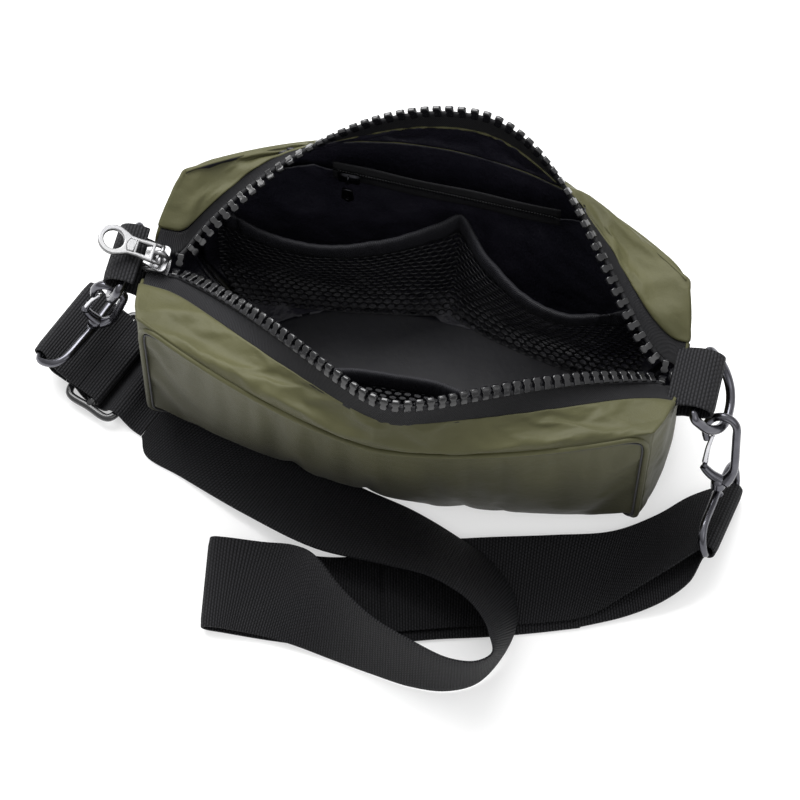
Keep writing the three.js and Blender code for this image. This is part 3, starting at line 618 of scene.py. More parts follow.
def rear_lip(s):
    x = 102.5 * s
    q = lip_share(x, 8)
    power = 0.75 if x < 8 else 1.5
    y = LIP_GAP + 68 * max(1 - q * q, 0) ** power
    return np.array([x, y, ZIP_END_Z + LIP_RISE * (1 - q ** 1.7)])


def tape_edge(s, lip, seam):
    a, b = lip(s), seam(s, 1)
    return a + (b - a) * TAPE_W / np.linalg.norm(b - a)


def end_reach(s, y):
    """How far the ends of the top run out over the bulge of the side walls."""
    near = min(max((abs(s) - 0.8) / 0.2, 0), 1)
    return math.copysign(SIDE_BULGE * max(1 - (y / WALL_END_Y) ** 2, 0) * near * near, s), near


def strip(s, u, lip, seam, crown=3.0):
    a, b = seam(s, 1), tape_edge(s, lip, seam)
    p = a + (b - a) * u
    reach, near = end_reach(s, p[1])
    p[0] += reach
    p[2] += crown * (1 - 0.8 * near) * math.sin(math.pi * min(max(u, 0), 1)) ** 0.75
    return p


def normal_of(surface, u, v, inside=(0, 0, 45)):
    e = 1e-3
    n = np.cross(surface(u + e, v) - surface(u - e, v), surface(u, v + e) - surface(u, v - e))
    n /= np.linalg.norm(n) + 1e-12
    if n.dot(surface(u, v) - np.array(inside, float)) < 0:
        n = -n
    return n


def shifted(surface, distance):
    """The surface moved along its outward normal by distance(u, v)."""
    def moved(u, v):
        return surface(u, v) + normal_of(surface, u, v) * distance(u, v)
    return moved


def rough(p, scale, seed=0.0):
    """Soft folds at a point, from about -1 to 1."""
    q = Vector((p[0] / scale + seed, p[1] / scale - seed, p[2] / scale))
    return noise.noise(q) + 0.5 * noise.noise(q * 2.1)


# ---- shell ------------------------------------------------------------------------------


def settle(obj, pinned, pressure, grow, frames=16):
    """Lets a sheet of cloth, a little larger than its outline, fill out from its pinned seams."""
    group = obj.vertex_groups.new(name="pinned")
    group.add(pinned, 1.0, "REPLACE")
    cloth_modifier = obj.modifiers.new("cloth", "CLOTH")
    settings = cloth_modifier.settings
    settings.quality = 6
    settings.mass = 0.25
    settings.air_damping = 4
    settings.tension_stiffness = 12
    settings.compression_stiffness = 12
    settings.shear_stiffness = 4
    settings.bending_stiffness = 0.6
    settings.vertex_group_mass = "pinned"
    settings.use_pressure = True
    settings.uniform_pressure_force = pressure
    settings.shrink_min = -grow
    settings.effector_weights.gravity = 0.2
    cloth_modifier.collision_settings.use_collision = False
    cloth_modifier.point_cache.frame_start = 1
    cloth_modifier.point_cache.frame_end = frames
    scene = bpy.context.scene
    for number in range(1, frames + 1):
        scene.frame_set(number)
    graph = bpy.context.evaluated_depsgraph_get()
    data = bpy.data.meshes.new_from_object(obj.evaluated_get(graph))
    obj.modifiers.clear()
    obj.vertex_groups.clear()
    obj.data = data
    scene.frame_set(1)


def border(counts):
    """Vertex numbers along the four sides of a grid."""
    nu, nv = counts
    w = nv + 1
    chosen = set(range(w)) | set(range(nu * w, (nu + 1) * w))
    chosen |= {i * w for i in range(nu + 1)} | {i * w + nv for i in range(nu + 1)}
    return sorted(chosen)


def panel(name, surface, counts, u_range, v_range, puff, folds, seed, cloths, grow, pressure, inside):
    """One cloth panel, stuffed out between its seams and settled as cloth."""
    lo, hi = u_range

    def stuffed(u, v):
        a = max(math.sin(math.pi * (u - lo) / (hi - lo)), 0) ** 0.5
        b = max(math.sin(math.pi * (v - v_range[0]) / (v_range[1] - v_range[0])), 0) ** 0.5
        creased = folds * (1 + 1.4 * abs(2 * (u - lo) / (hi - lo) - 1) ** 4)
        p = surface(u, v)
        creased *= min(max(p[2] / 45, 0.15), 1)
        return a * b * (puff + creased * rough(p, 30, seed))

    obj = grid(name, shifted(surface, stuffed), u_range, v_range, counts, cloths[0])
    face_away(obj, inside)
    settle(obj, border(counts), pressure, grow)
    for vertex in obj.data.vertices:
        vertex.co.z = max(vertex.co.z, 0.0004)
    thicken(obj, 1.2)
    obj.data.materials.append(cloths[1])
    obj.modifiers["thick"].material_offset = 1
    return obj


def make_shell(mats):
    olive = (mats["olive"], mats["lining"])
    for name, surface, seed in (("front_panel", front_wall, 1.3), ("back_panel", back_wall, 4.1)):
        obj = panel(name + "_cloth", surface, (76, 42), (-1, 1), (0.0, 1), 1.6, 1.2, seed, olive, 0.02,
                    0.6, (0, 0, 45))
        keep(obj, "bag", "olive_cloth", name)
    for name, hand, seed in (("left_side_panel", -1, 7.7), ("right_side_panel", 1, 9.2)):
        def surface(t, v, h=hand):
            return side_wall(t, v, h)

        obj = panel(name + "_cloth", surface, (30, 36), (-1, 1), (0.0, 1), 0.8, 0.8, seed, olive, 0.012,
                    0.6, (0, 0, 45))
        keep(obj, "bag", "olive_cloth", name)
    for name, lip, seam, seed, crown in (("front_top_strip", front_lip, front_wall, 2.9, 4.6),
                                         ("back_top_strip", rear_lip, back_wall, 5.3, 3.2)):
        def surface(s, u, a=lip, b=seam, c=crown):
            return strip(s, u, a, b, c)

        obj = panel(name + "_cloth", surface, (96, 14), (-0.995, 0.995), (0.0, 1), 0.8, 1.1, seed, olive,
                    0.02, 0.5, (0, 0, 20))
        keep(obj, "bag", "olive_cloth", name)
    obj = grid("base_panel_cloth", base_point, (-1, 1), (-1, 1), (30, 12), mats["olive"])
    thicken(obj, 1.4, 1.0, 0)
    keep(obj, "bag", "olive_cloth", "base_panel")
    make_seams(mats)


def base_point(s, t):
    p = wall(s, 0, 1, 0, 0)
    return np.array([p[0], p[1] * t, 0.05])


def make_seams(mats):
    """The turned seam edges that stand out along the top and down the corners, each with a dark tube in
    the groove beside it as painted shade.
    """
    ridges = []
    for name, surface in (("front", front_wall), ("back", back_wall)):
        end = [(0.985, v) for v in np.linspace(0.12, 0.88, 22)] + [(0.975, 0.935), (0.95, 0.972)]
        top = [(s, 0.985) for s in np.linspace(-0.91, 0.91, 56)]
        route = [(-s, v) for s, v in end] + top + end[::-1]
        # the groove tube is a dark line of painted shade just inside the seam ridge
        for name_end, shrink, lift, radius, cloth_key in (("seam", 0, 0.5, 1.2, "olive"),
                                                          ("groove", 0.016, 0.8, 0.4, "painted_groove_shade")):
            line = []
            for s, v in route:
                s, v = s * (1 - shrink), v - shrink * (1 if v > 0.95 else 0)
                line.append(surface(s, v) + normal_of(surface, s, v) * lift)
            line = centripetal(line, 320)
            ridges.append(sweep(f"{name}_{name_end}", line, radius, mats[cloth_key], 10))
    obj = joined("seam_edges", ridges)
    keep(obj, "bag", "olive_cloth")


# ---- lining and pockets -----------------------------------------------------------------

POCKET_ZIP_Z, POCKET_ZIP_Y, POCKET_ZIP_HALF = 74.0, 54.6, 44.0
DIVIDER_X = 6.0


def back_lining(s, v):
    p = back_wall(s, v)
    near = math.exp(-((p[2] - POCKET_ZIP_Z) / 9) ** 2) * min(max((68 - abs(p[0])) / 14, 0), 1)
    p[1] -= near * max(0, p[1] - 59.2)
    return p


def v_at(z):
    return ROUND_V + (z - ROUND_Z) * (1 - ROUND_V) / (SEAM_Z - SEAM_DIP - ROUND_Z)


def mesh_pocket(s, v):
    p = back_wall(s, v)
    rise = min(max(p[2] / 50, 0), 1.2)
    left = p[0] < DIVIDER_X
    share = (p[0] + 86) / (86 + DIVIDER_X) if left else (p[0] - DIVIDER_X) / (86 - DIVIDER_X)
    bulge = (21 if left else 25) * math.sin(math.pi * min(max(share, 0), 1)) ** 0.8
    p[1] -= 7.8 + bulge * (0.25 + 0.75 * rise)
    return p


def front_pocket(s, v):
    p = front_wall(s, v)
    share = min(max((p[0] + 58) / 124, 0), 1)
    p[1] += 6.4 + 27 * math.sin(math.pi * share) * (0.15 + 0.85 * min(max(p[2] / 72, 0), 1.1))
    return p


def make_lining(mats):
    lining = mats["lining"]

    def crumpled(surface, depth, amount, seed):
        return shifted(surface, lambda u, v: -depth + amount * abs(rough(surface(u, v), 17, seed)))

    for name, surface, seed in (("front_lining", front_wall, 3.3), ("back_lining", back_lining, 8.8)):
        obj = grid(name + "_cloth", crumpled(surface, 4.6, 2.2, seed), (-0.965, 0.965), (0.03, 0.92),
                   (84, 40), lining)
        thicken(obj, 0.4, 0.0)
        keep(obj, "bag", "lining_cloth", name, name.replace("lining", "padding"))
    for name, hand in (("left_side_lining", -1), ("right_side_lining", 1)):
        def surface(t, v, h=hand):
            return side_wall(t, v, h)

        obj = grid(name + "_cloth", crumpled(surface, 2.8, 1.4, hand * 3.1), (-0.92, 0.92), (0.03, 0.95),
                   (28, 30), lining)
        thicken(obj, 0.4, 0.0)
        keep(obj, "bag", "lining_cloth", name)
    # the inside floor takes the lining's darker copy, painted shade
    obj = grid("base_lining_cloth", base_floor, (-1, 1), (-1, 1), (40, 14), mats["floor_lining_painted_shade"])
    thicken(obj, 0.5, 0.0)
    keep(obj, "bag", "lining_cloth", "base_lining", "base_stiffener")


def base_floor(s, t):
    p = wall(s, 0, 1, 0, 0)
    q = np.array([p[0] * 1.1, p[1] * t * 1.12, 4.3])
    q[2] += 0.5 * abs(rough(q, 15))
    return q


def bound_edge(name, surface, u_range, v, width, mats):
    """Elastic binding folded over a pocket's top edge."""
    us = np.linspace(*u_range, 90)
    rows = [(-width, 1.1), (-width * 0.5, 1.5), (-0.01, 1.1), (0.0, 0.0), (-0.01, -1.1),
            (-width * 0.5, -1.5), (-width, -1.1)]
    points, uvs = [], []
    length = 0.0
    last = None
    for u in us:
        n = normal_of(surface, u, v)
        here = surface(u, v)
        length += 0 if last is None else np.linalg.norm(here - last)
        last = here
        gather = 0.25 * math.sin(length * 1.9)
        for k, (dv, out) in enumerate(rows):
            points.append(surface(u, v + dv) + n * (out + gather * (1 if out else 0)))
            uvs.append((length, k * 1.6))
    m = len(rows)
    faces = [
        (i * m + j, (i + 1) * m + j, (i + 1) * m + j + 1, i * m + j + 1)
        for i in range(len(us) - 1) for j in range(m - 1)
    ]
    obj = object_from(name, points, faces, uvs, mats["binding"])
    return thicken(obj, 0.5, 0.0, 1)


def make_pockets(mats):
    ruffle = shifted(mesh_pocket, lambda s, v: 0.9 * rough(mesh_pocket(s, v), 20, 1.7))
    top = v_at(48.5)
    obj = grid("mesh_pocket_cloth", ruffle, (-0.88, 0.88), (0.2, top), (120, 30), mats["mesh"])
    keep(obj, "bag", "mesh_cloth", "mesh_pocket")
    obj = bound_edge("mesh_pocket_edge", ruffle, (-0.88, 0.88), top + 0.09, 0.09, mats)
    keep(obj, "bag", "lining_cloth", "mesh_pocket_binding")
    front_top = v_at(64)
    sag = shifted(front_pocket, lambda s, v: 0.7 * rough(front_pocket(s, v), 18, 5.1))
    obj = grid("front_pocket_cloth", sag, (-0.57, 0.65), (0.26, front_top), (80, 24), mats["mesh"])
    keep(obj, "bag", "mesh_cloth", "front_pocket")
    obj = bound_edge("front_pocket_edge", sag, (-0.57, 0.65), front_top + 0.09, 0.08, mats)
    keep(obj, "bag", "lining_cloth", "front_pocket_binding")
    make_pocket_zip(mats)


def make_pocket_zip(mats):
    x, y, z, half = 0.0, POCKET_ZIP_Y, POCKET_ZIP_Z, POCKET_ZIP_HALF
    for name, hand in (("upper", 1), ("lower", -1)):
        def surface(u, v, h=hand):
            return np.array([u, y + 0.3 * math.sin(u / 7.0) * v, z + h * (0.9 + 5 * v)])
        obj = grid(f"pocket_zip_{name}_cloth", surface, (x - half - 2, x + half + 2), (0, 1), (60, 4),
                   mats["tape"])
        thicken(obj, 0.6, 0.0, 0)
        keep(obj, "bag", "zip_tape", f"pocket_zip_{name}_tape")
    line = []
    turns = int(2 * half / 1.15)
    for k in range(turns * 8 + 1):
        a = 2 * math.pi * k / 8
        along = x - half + 2 * half * k / (turns * 8)
        line.append((along, y - 0.5 + 0.35 * math.sin(a), z + 0.95 * math.cos(a)))
    obj = sweep("pocket_zip_coil_wire", line, 0.3, mats["teeth"], 6)
    keep(obj, "bag", "zip_teeth", "pocket_zip_coil")
    start = x - half + 5
    black = mats["black_metal"]
    body = bevelled_box("slider_plate", (9, 1.3, 6.4), (start, y - 2.6, z), black, 0.5)
    bail = [
        (start, y - 3.2 - 1.5 * math.sin(a), z - 2.4 * math.cos(a)) for a in np.linspace(0, math.pi, 14)
    ]
    loop = sweep("slider_bail", bail, 0.5, black, 8)
    keep(joined("pocket_slider_body", [body, loop]), "pocket_slider", "black_metal", "pocket_zip_slider")
    outline = [(-2, -4.4), (-2.6, -11.4), *arc((0, -12), 1.5, 200, 340, 8), (2.6, -11.4), (2, -4.4)]
    hole = arc((0, -10.8), 0.9, 0, 345, 12)
    pull = plate("pocket_pull_plate", outline, [hole], 1, black, 0.2)
    pull.data.transform(stand_up(start, y - 5.2, z))
    keep(pull, "pocket_pull", "black_metal", "pocket_zip_pull")


def stand_up(x, y, z):
    """Turns a plate drawn in X and Y to stand in X and Z at a place in millimetres."""
    return Matrix.Translation(Vector((x, y, z)) * MM) @ Matrix.Rotation(math.pi / 2, 4, "X")


# ---- main zip ---------------------------------------------------------------------------

TOOTH_COUNT = 55


def tooth_mesh():
    """One moulded tooth, its root at the origin, reaching along +Y, Z its thickness."""
    outline = [(-1.35, -0.6), (-1.45, 0.9), (-1.2, 1.8), (-1.2, 2.3), (-1.65, 2.9), (-1.7, 3.8),
               (-1.1, 4.6), (1.1, 4.6), (1.7, 3.8), (1.65, 2.9), (1.2, 2.3), (1.2, 1.8), (1.45, 0.9),
               (1.35, -0.6)]
    height = [1.5, 1.6, 1.35, 1.25, 1.3, 1.2, 0.8, 0.8, 1.2, 1.3, 1.25, 1.35, 1.6, 1.5]
    points, faces = [], []
    rows = [(1.0, -0.62), (1.0, 0.62), (0.8, 1.0)]
    levels = [(0.8, -1.0), *rows]
    n = len(outline)
    for shrink, level in levels:
        for (px, py), h in zip(outline, height):
            points.append((px * shrink, 1.95 + (py - 1.95) * (1 - (1 - shrink) * 0.5), h * level))
    for k in range(len(levels) - 1):
        for j in range(n):
            a, b = k * n + j, k * n + (j + 1) % n
            faces.append((a, b, b + n, a + n))
    faces.append(tuple(reversed(range(n))))
    faces.append(tuple(range((len(levels) - 1) * n, len(levels) * n)))
    return np.array(points), faces


def make_chain(name, lip, seam, mats, node):
    shape, shape_faces = tooth_mesh()
    ss = np.linspace(-0.946, 0.99, 800)
    line = np.array([lip(s) for s in ss])
    length = np.concatenate([[0], np.cumsum(np.linalg.norm(np.diff(line, axis=0), axis=1))])
    points, faces = [], []
    for k in range(TOOTH_COUNT):
        at = (k + 0.5) * length[-1] / TOOTH_COUNT
        s = float(np.interp(at, length, ss))
        p = lip(s)
        forward = lip(s + 2e-3) - lip(s - 2e-3)
        forward /= np.linalg.norm(forward)
        reach = lip(s) - tape_edge(s, lip, seam)
        reach -= forward * reach.dot(forward)
        reach /= np.linalg.norm(reach)
        up = np.cross(forward, reach)
        tilt = random.uniform(-0.05, 0.05)
        base = len(points)
        for a, b, c in shape:
            points.append(p + forward * (a + tilt * b) + reach * b + up * c)
        faces.extend(tuple(base + i for i in face) for face in shape_faces)
    teeth = object_from(name + "_teeth", points, faces, None, mats["teeth"], True)
    cord = sweep(name + "_cord", line[::8], 1.0, mats["tape"], 8)
    obj = joined(name, [teeth, cord])
    bevel = obj.modifiers.new("soft", "BEVEL")
    bevel.width = 0.25 * MM
    bevel.segments = 2
    bevel.limit_method = "ANGLE"
    keep(obj, "bag", "zip_teeth", node)


def make_zip(mats):
    for name, lip, seam in (("front", front_lip, front_wall), ("back", rear_lip, back_wall)):
        def surface(s, u, a=lip, b=seam):
            p = tape_edge(s, a, b) * (1 - u) + a(s) * u
            return p + np.array([end_reach(s, p[1])[0], 0, -0.9 - 0.4 * math.sin(math.pi * max(u, 0))])
        obj = grid(f"{name}_tape_cloth", surface, (-0.985, 0.995), (-0.02, 1.0), (110, 8), mats["tape"])
        thicken(obj, 0.7, 0.0, 0)
        keep(obj, "bag", "zip_tape", f"{name}_zip_tape")
        make_chain(f"{name}_chain", lip, seam, mats, f"{name}_zip_teeth")
    stop = bevelled_box("end_stop", (1.8, 5.6, 2.6), (102.2, 0, 69.5), mats["teeth"], 0.6)
    keep(stop, "bag", "zip_teeth", "zip_end_stop")
    make_slider(mats)


SLIDER_X = -103.0
PULL_LIFT = math.radians(14)


def make_slider(mats):
    nickel = mats["nickel"]
    x, z = SLIDER_X, ZIP_END_Z - 0.5
    outline = [(-5, -3.6), *arc((2.3, -3.4), 2.6, -90, -20, 5), (5, 0), *arc((2.3, 3.4), 2.6, 20, 90, 5),
               (-5, 3.6)]
    parts = []
    for level in (3.4, -3.4):
        leaf = plate("leaf", outline, [], 1.4, nickel, 0.35)
        leaf.location = Vector((x, 0, z + level)) * MM
        parts.append(leaf)
    for hand in (-1, 1):
        parts.append(bevelled_box("flange", (8, 0.9, 2.2), (x - 0.6, hand * 5.1, z + 2.4), nickel, 0.3))
    parts.append(bevelled_box("post", (2.4, 2.2, 6.4), (x + 2, 0, z), nickel, 0.3))
    bail = [
        (x - 1.4 + 6 * f, 0, z + 4.2 + 4.0 * math.sin(math.pi * f) ** 0.6) for f in np.linspace(0, 1, 22)
    ]
    parts.append(sweep("bail", bail, 0.95, nickel, 12))
    keep(joined("main_slider_body", parts), "main_slider", "nickel", "zip_slider")

    ring = arc((-19.3, 0), 6.3, 60, 300, 28)
    taper = [(-15.6, -5.3), (-12.8, -4), (-9.4, -3.8), (-5, -4.2), (-2.8, -4.3), (-2.8, 4.3), (-5, 4.2),
             (-9.4, 3.8), (-12.8, 4), (-15.6, 5.3)]
    window = [(-4.2, -2.6), (-9.6, -2.3), (-9.6, 2.3), (-4.2, 2.6)]
    body = plate("pull", [*ring, *taper], [arc((-19.3, 0), 4.1, 0, 350, 30), window], 1.7, nickel, 0.45)
    recess = [(-10.7, -2.6), (-13.4, -2.7), (-14.3, 0), (-13.4, 2.7), (-10.7, 2.6), (-10.7, -2.6)]
    panel_rim = sweep("rim", [(px, py, 0.85) for px, py in recess], 0.3, nickel, 8)
    bar = sweep("bar", [(0, y, 0) for y in np.linspace(-4.1, 4.1, 5)], 0.9, nickel, 12)
    arms = [bevelled_box("arm", (3.6, 1.1, 1.7), (-1.4, hand * 3.7, 0), nickel, 0.3) for hand in (-1, 1)]
    pull = joined("main_pull_plate", [body, panel_rim, bar, *arms])
    place = Matrix.Translation(Vector((SLIDER_X + 1.8, 0, ZIP_END_Z + 5.7)) * MM)
    pull.data.transform(place @ Matrix.Rotation(PULL_LIFT, 4, "Y"))
    for polygon in pull.data.polygons:
        polygon.use_smooth = polygon.area < 3e-6
    keep(pull, "main_pull", "nickel", "zip_pull")


# ---- tabs, D-rings, hooks ---------------------------------------------------------------

TAB_BAR = (114.0, -1.0, 70.0)


def make_tab(name, hand, mats):
    root = [(109, 73.3)] if hand < 0 else [(102.8, 71.2), (107.3, 72.9)]
    profile = [*root, (111, 74.2), (114, 74.6), (118, 73.8), (120.6, 71.2), (120.2, 68), (117, 66),
               (113, 65.2), (110, 64.8), (107.4, 63.4)]
    lo, hi = TAB_BAR[1] - 12.5, TAB_BAR[1] + 12.5
    stations = [((hand * x, lo, z), (hand * x, hi, z)) for x, z in profile]
    obj, _ = tape_strip(name + "_webbing", stations, 1.6, 5, mats["tab"], 8)
    keep(obj, "bag", "webbing", name)


def d_ring_line(hand, down):
    bx, by, bz = TAB_BAR
    outline = [(-0.3, 0), (-6, 0), (-11, 0), (-14, 0.3), (-15, 1.6), (-15, 5), (-14.4, 10), (-12, 15.5),
               (-8.6, 19.4), (-4.4, 21.5), (0, 22)]
    outline += [(-y, d) for y, d in reversed(outline[:-1])]
    return centripetal([(hand * bx + down[0] * d, by + y, bz + down[2] * d) for y, d in outline], 150)


def unit(*v):
    v = np.array(v, float)
    return v / np.linalg.norm(v)


LEFT_FOOT, LEFT_UP = np.array([-130.4, -9.4, 21.2]), unit(0.29, 0.036, 0.955)
RIGHT_FOOT, RIGHT_UP = np.array([128.8, -22.5, 25.3]), unit(-0.115, 0.432, 0.893)
LEFT_ALONG, LEFT_RING_DOWN = unit(-0.32, -0.94, 0.075), unit(-0.84, 0.24, -0.49)
RIGHT_ALONG, RIGHT_RING_DOWN = unit(0.14, 0.925, -0.355), unit(0.254, -0.38, -0.889)
RING_DEPTH, RING_HALF = 14.0, 21.9


def hook_frame(foot, up):
    """Columns X, Y, Z of the hook's own axes, and its foot, as a 4x4 matrix in metres."""
    z = up
    x = np.array([1.0, 0, 0]) - z * z[0]
    x /= np.linalg.norm(x)
    y = np.cross(z, x)
    m = Matrix.Identity(4)
    for i in range(3):
        m[i][0], m[i][1], m[i][2], m[i][3] = x[i], y[i], z[i], foot[i] * MM
    return m


def make_hook(side, foot, up, along, down, mats):
    gun = mats["gunmetal"]
    turn = hook_frame(foot, up)
    rod = [(2.6, 0, 4.0), (4.6, 0, 7.4), (5.8, 0, 11), (6, 0, 15), (6, 0, 22), (6, 0, 28)]
    rod += [(6 * math.cos(a), 0, 30 + 6 * math.sin(a)) for a in np.linspace(0, math.pi, 9)]
    rod += [(-6, 0, 27), (-5.5, 0, 24.2)]
    line = centripetal(rod, 90)
    radii = np.interp(np.linspace(0, 1, 91), [0, 0.12, 0.5, 0.9, 1], [2.4, 1.75, 1.65, 1.7, 1.3])
    parts = [sweep("rod", line, radii, gun, 16)]
    arm = centripetal([(1.5, 0, 4.6), (-2.5, 0, 6.8), (-5.2, 0, 9.4), (-6.3, 0, 10.9)], 24)
    parts.append(sweep("arm", arm, np.linspace(2.2, 1.5, 25), gun, 14))
    collar = centripetal([(0, 0, 0.9), (0, 0, 1.6), (0, 0, 3.2), (0, 0, 5.2), (0, 0, 6.2)], 20)
    parts.append(sweep("collar", collar, np.interp(np.linspace(0, 1, 21), [0, 0.15, 0.6, 1],
                                                   [1.9, 2.9, 2.9, 1.6]), gun, 20))
    parts.append(sweep("pin", [(-5.6, -2.2, 12.2), (-5.6, 0, 12.2), (-5.6, 2.2, 12.2)], 1.0, gun, 12))
    hook = joined(side + "_hook_body", parts)
    hook.data.transform(turn)
    keep(hook, side + "_snap", "gunmetal", side + "_hook")
    gate = centripetal([(-5.6, 0, 13.2), (-5.3, 0, 16), (-4.6, 0, 21), (-3.2, 0, 26.6)], 30)
    gate = sweep(side + "_gate_blade", gate, np.linspace(1.15, 0.8, 31), mats["steel"], 12, 1.2)
    gate.data.transform(turn)
    keep(gate, side + "_gate", "spring_steel", side + "_hook_gate")

    w, d = RING_HALF, RING_DEPTH
    outline = [(-0.3, d), (-8, d), (-w + 2.2, d), (-w, d - 2.2), (-w, 5), (-w + 3.4, 1.2), (-8, 0),
               (0, -0.6)]
    outline += [(-a, b) for a, b in reversed(outline[:-1])]
    neck = foot - up * 2
    line = centripetal([neck + along * a + down * b for a, b in outline], 160)
    ring = sweep("ring", line, 1.6, gun, 14)
    rivet = centripetal([neck + up * h for h in (-0.2, 0.5, 1.6, 2.4)], 8)
    rivet = sweep("rivet", rivet, np.interp(np.linspace(0, 1, 9), [0, 0.3, 1], [2.4, 1.4, 1.2]), gun, 14)
    keep(joined(side + "_ring_wire", [ring, rivet]), side + "_ring", "gunmetal", side + "_strap_ring")


def make_hardware(mats):
    for side, hand, d_down in (("left", -1, unit(-0.35, 0, -0.94)), ("right", 1, unit(0.57, 0, -0.82))):
        make_tab(side + "_tab", hand, mats)
        ring = sweep(side + "_d_ring_wire", d_ring_line(hand, d_down), 1.9, mats["gunmetal"], 16)
        keep(ring, side + "_d", "gunmetal", side + "_d_ring")
    make_hook("left", LEFT_FOOT, LEFT_UP, LEFT_ALONG, LEFT_RING_DOWN, mats)
    make_hook("right", RIGHT_FOOT, RIGHT_UP, RIGHT_ALONG, RIGHT_RING_DOWN, mats)


# ---- strap ------------------------------------------------------------------------------

WEB_W, WEB_T = 38.0, 1.5
GLIDE = np.array([-117.9, -17.4, 0.0])
GLIDE_ALONG, GLIDE_ACROSS = unit(0.93, -0.36, 0), unit(0.36, 0.93, 0)
RAIL_U, RAIL_Z, BAR_Z = 10.75, 5.0, 5.4
WRAP_R = 2.95

MIDDLE = [
    [(-79.8, -19, 0.75), (-98.2, -51.6, 0.9)],
    [(-59, -29.5, 0.75), (-82, -57.5, 1.4)],
    [(-39, -36, 0.8), (-51.4, -70, 8)],
    [(-12, -44.5, 1.2), (-20, -80, 14)],
    [(13, -50.5, 2.5), (8, -83, 21)],
    [(32, -58, 4.6), (29, -87, 29)],
    [(47, -65, 4.6), (44.5, -93, 30)],
    [(59, -76, 4.6), (53, -101, 32.5)],
    [(63.5, -89, 4.6), (57, -108.5, 36.5)],
    [(61, -103, 3.4), (59.5, -116, 38.5)],
    [(54, -115, 1.4), (54.5, -121, 39)],
    [(43, -121, 1.2), (44, -122.5, 39.1)],
    [(29, -122.5, 1.2), (29, -119, 39)],
    [(13, -121, 1.2), (12, -113, 38.3)],
    [(-3, -119, 1.2), (-3, -103, 35.5)],
    [(-18, -117.5, 2.6), (-17, -89, 27.5)],
    [(-31, -117, 3.4), (-29, -80, 12)],
    [(-42, -117.6, 4.4), (-42, -79.8, 7.2)],
    [(-50, -118.5, 5.4), (-55.5, -80.9, 6.5)],
    [(-55.2, -119, 4.4), (-61.4, -81.2, 5)],
    [(-56, -119, 2.8), (-62.6, -81.3, 3.2)],
    [(-54.4, -118.8, 1.3), (-60.6, -81, 1.5)],
    [(-48, -118.3, 0.9), (-54, -80.6, 0.9)],
    [(-28, -117, 0.9), (-33, -79.3, 0.9)],
    [(-7, -114.4, 0.9), (-14, -77, 0.9)],
    [(14, -108, 0.9), (4, -71.3, 0.9)],
    [(34, -101, 0.9), (23, -64.6, 0.9)],
    [(54, -95, 0.9), (44, -58.3, 0.9)],
    [(73, -88.4, 0.9), (62, -52, 0.9)],
    [(88, -82.7, 1), (76, -46.7, 0.9)],
]
RIGHT_OUT = [
    [(86.4, -83.2, 1.2), (74.6, -47.2, 1.1)],
    [(105, -73.8, 2.4), (92, -39, 0.9)],
    [(118, -65.5, 6.6), (108, -29.5, 0.9)],
    [(126, -57, 11), (121, -20.5, 1)],
]
RIGHT_BACK = [
    [(117, -55, 14), (119.5, -18.6, 6)],
    [(104, -66, 8), (107.4, -29.6, 4.2)],
    [(90, -78, 3.8), (92, -40, 3.1)],
    [(72, -85.4, 2.9), (69, -47.4, 2.9)],
    [(50, -92, 2.9), (44, -54.6, 2.9)],
    [(30, -98.6, 2.9), (21, -61.8, 2.9)],
    [(14, -104, 2.9), (4, -67.4, 2.9)],
]


def glide_point(u, w, z):
    p = GLIDE + GLIDE_ALONG * u + GLIDE_ACROSS * w
    return (p[0], p[1], z)


def glide_band(pairs):
    return [[glide_point(u, WEB_W / 2, z), glide_point(u, -WEB_W / 2, z)] for u, z in pairs]


def turned(foot, hook_up, ring_down, across, out):
    """Stations round a ring's bar, coming in below it and leaving above it."""
    bar = foot - hook_up * 2 + ring_down * RING_DEPTH
    away = out - across * out.dot(across)
    away /= np.linalg.norm(away)
    up = np.cross(away, across)
    up = -up if up[2] < 0 else up
    stations = []
    for degrees in (-80, -115, -150, -180, -210, -245, -280):
        a = math.radians(degrees)
        c = bar + away * WRAP_R * math.cos(a) + up * WRAP_R * math.sin(a)
        stations.append([c + across * WEB_W / 2, c - across * WEB_W / 2])
    return stations


def strap_piece(name, stations, mats, *nodes):
    obj, length = tape_strip(name, stations, WEB_T, 8, mats["webbing"], 10)
    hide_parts(*nodes)
    return obj


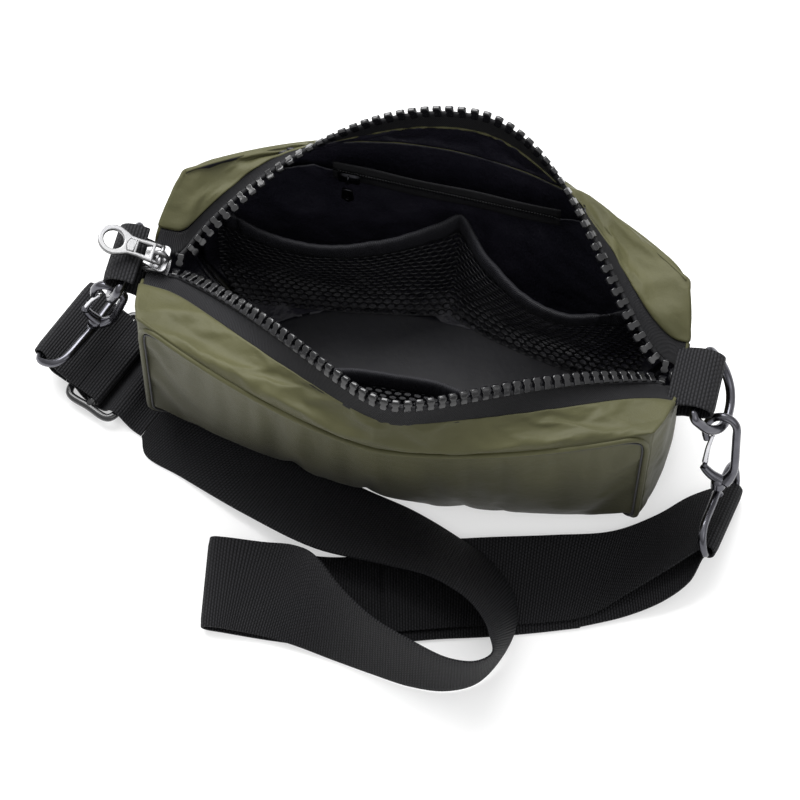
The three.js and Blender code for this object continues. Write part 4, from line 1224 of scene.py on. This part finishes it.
def make_strap(mats):
    middle = [*glide_band([(24.4, 0.9)]), *MIDDLE]
    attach(strap_piece("strap_run", middle, mats, "strap_middle"), "bag")
    left = [*glide_band([(-13.6, 7.5), (-17, 7.8), (-20.5, 8.4)]),
            *turned(LEFT_FOOT, LEFT_UP, LEFT_RING_DOWN, -LEFT_ALONG, GLIDE_ALONG),
            *glide_band([(-18.5, 12.8), (-14, 10.8), (-10.5, 9.6), (-7.3, 9)])]
    obj = strap_piece("strap_left_loop", left, mats, "strap_left_end")
    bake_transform(obj)
    right = [*RIGHT_OUT,
             *turned(RIGHT_FOOT, RIGHT_UP, RIGHT_RING_DOWN, -RIGHT_ALONG, np.array([-1.0, 0, 0])),
             *RIGHT_BACK]
    obj = strap_piece("strap_right_loop", right, mats, "strap_right_under", "strap_right_turn",
                      "strap_sewn_end")
    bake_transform(obj)
    wrap = [(-6.9, 8.8), (-3.2, 8.5), (0, 8), (1.9, 7.2), (2.6, 5.4), (1.9, 3.6), (0, 2.8), (-1.9, 3.6),
            (-2.6, 5.6)]
    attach(strap_piece("adjuster_loop", glide_band(wrap), mats, "strap_bar_wrap"), "bag")
    weave = [(24, 1), (20, 1.3), (16.4, 3.6), (13.6, 6.4), (RAIL_U, 7.7), (8.2, 6.4), (6.6, 3.8),
             (4.6, 1.7), (2.2, 1), (0, 1), (-2.2, 1), (-4.6, 1.7), (-6.6, 3.8), (-8.2, 6.4),
             (-RAIL_U, 7.7), (-13.2, 7.5)]
    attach(strap_piece("adjuster_run", glide_band(weave), mats, "strap_adjuster_run"), "bag")
    make_adjuster(mats)


def make_adjuster(mats):
    w, r = 22.0, RAIL_U
    outline = [(0, w), (r - 2, w), (r, w - 2), (r, 0), (r, 2 - w), (r - 2, -w), (0, -w), (2 - r, -w),
               (-r, 2 - w), (-r, 0), (-r, w - 2), (2 - r, w), (-0.4, w)]
    line = centripetal([glide_point(a, b, RAIL_Z) for a, b in outline], 160)
    frame_wire = sweep("adjuster_wire", line, 1.6, mats["plastic"], 14)
    across = [glide_point(0, b, BAR_Z) for b in np.linspace(-w, w, 12)]
    bar = sweep("adjuster_bar", across, 1.5, mats["plastic"], 14)
    keep(joined("adjuster_frame", [frame_wire, bar]), "bag", "adjuster_plastic", "strap_adjuster")


# ---- putting it together ----------------------------------------------------------------

materials = make_materials()
make_camera()
make_stage()
make_strap(materials)
make_shell(materials)
make_zip(materials)
make_hardware(materials)
make_lining(materials)
make_pockets(materials)
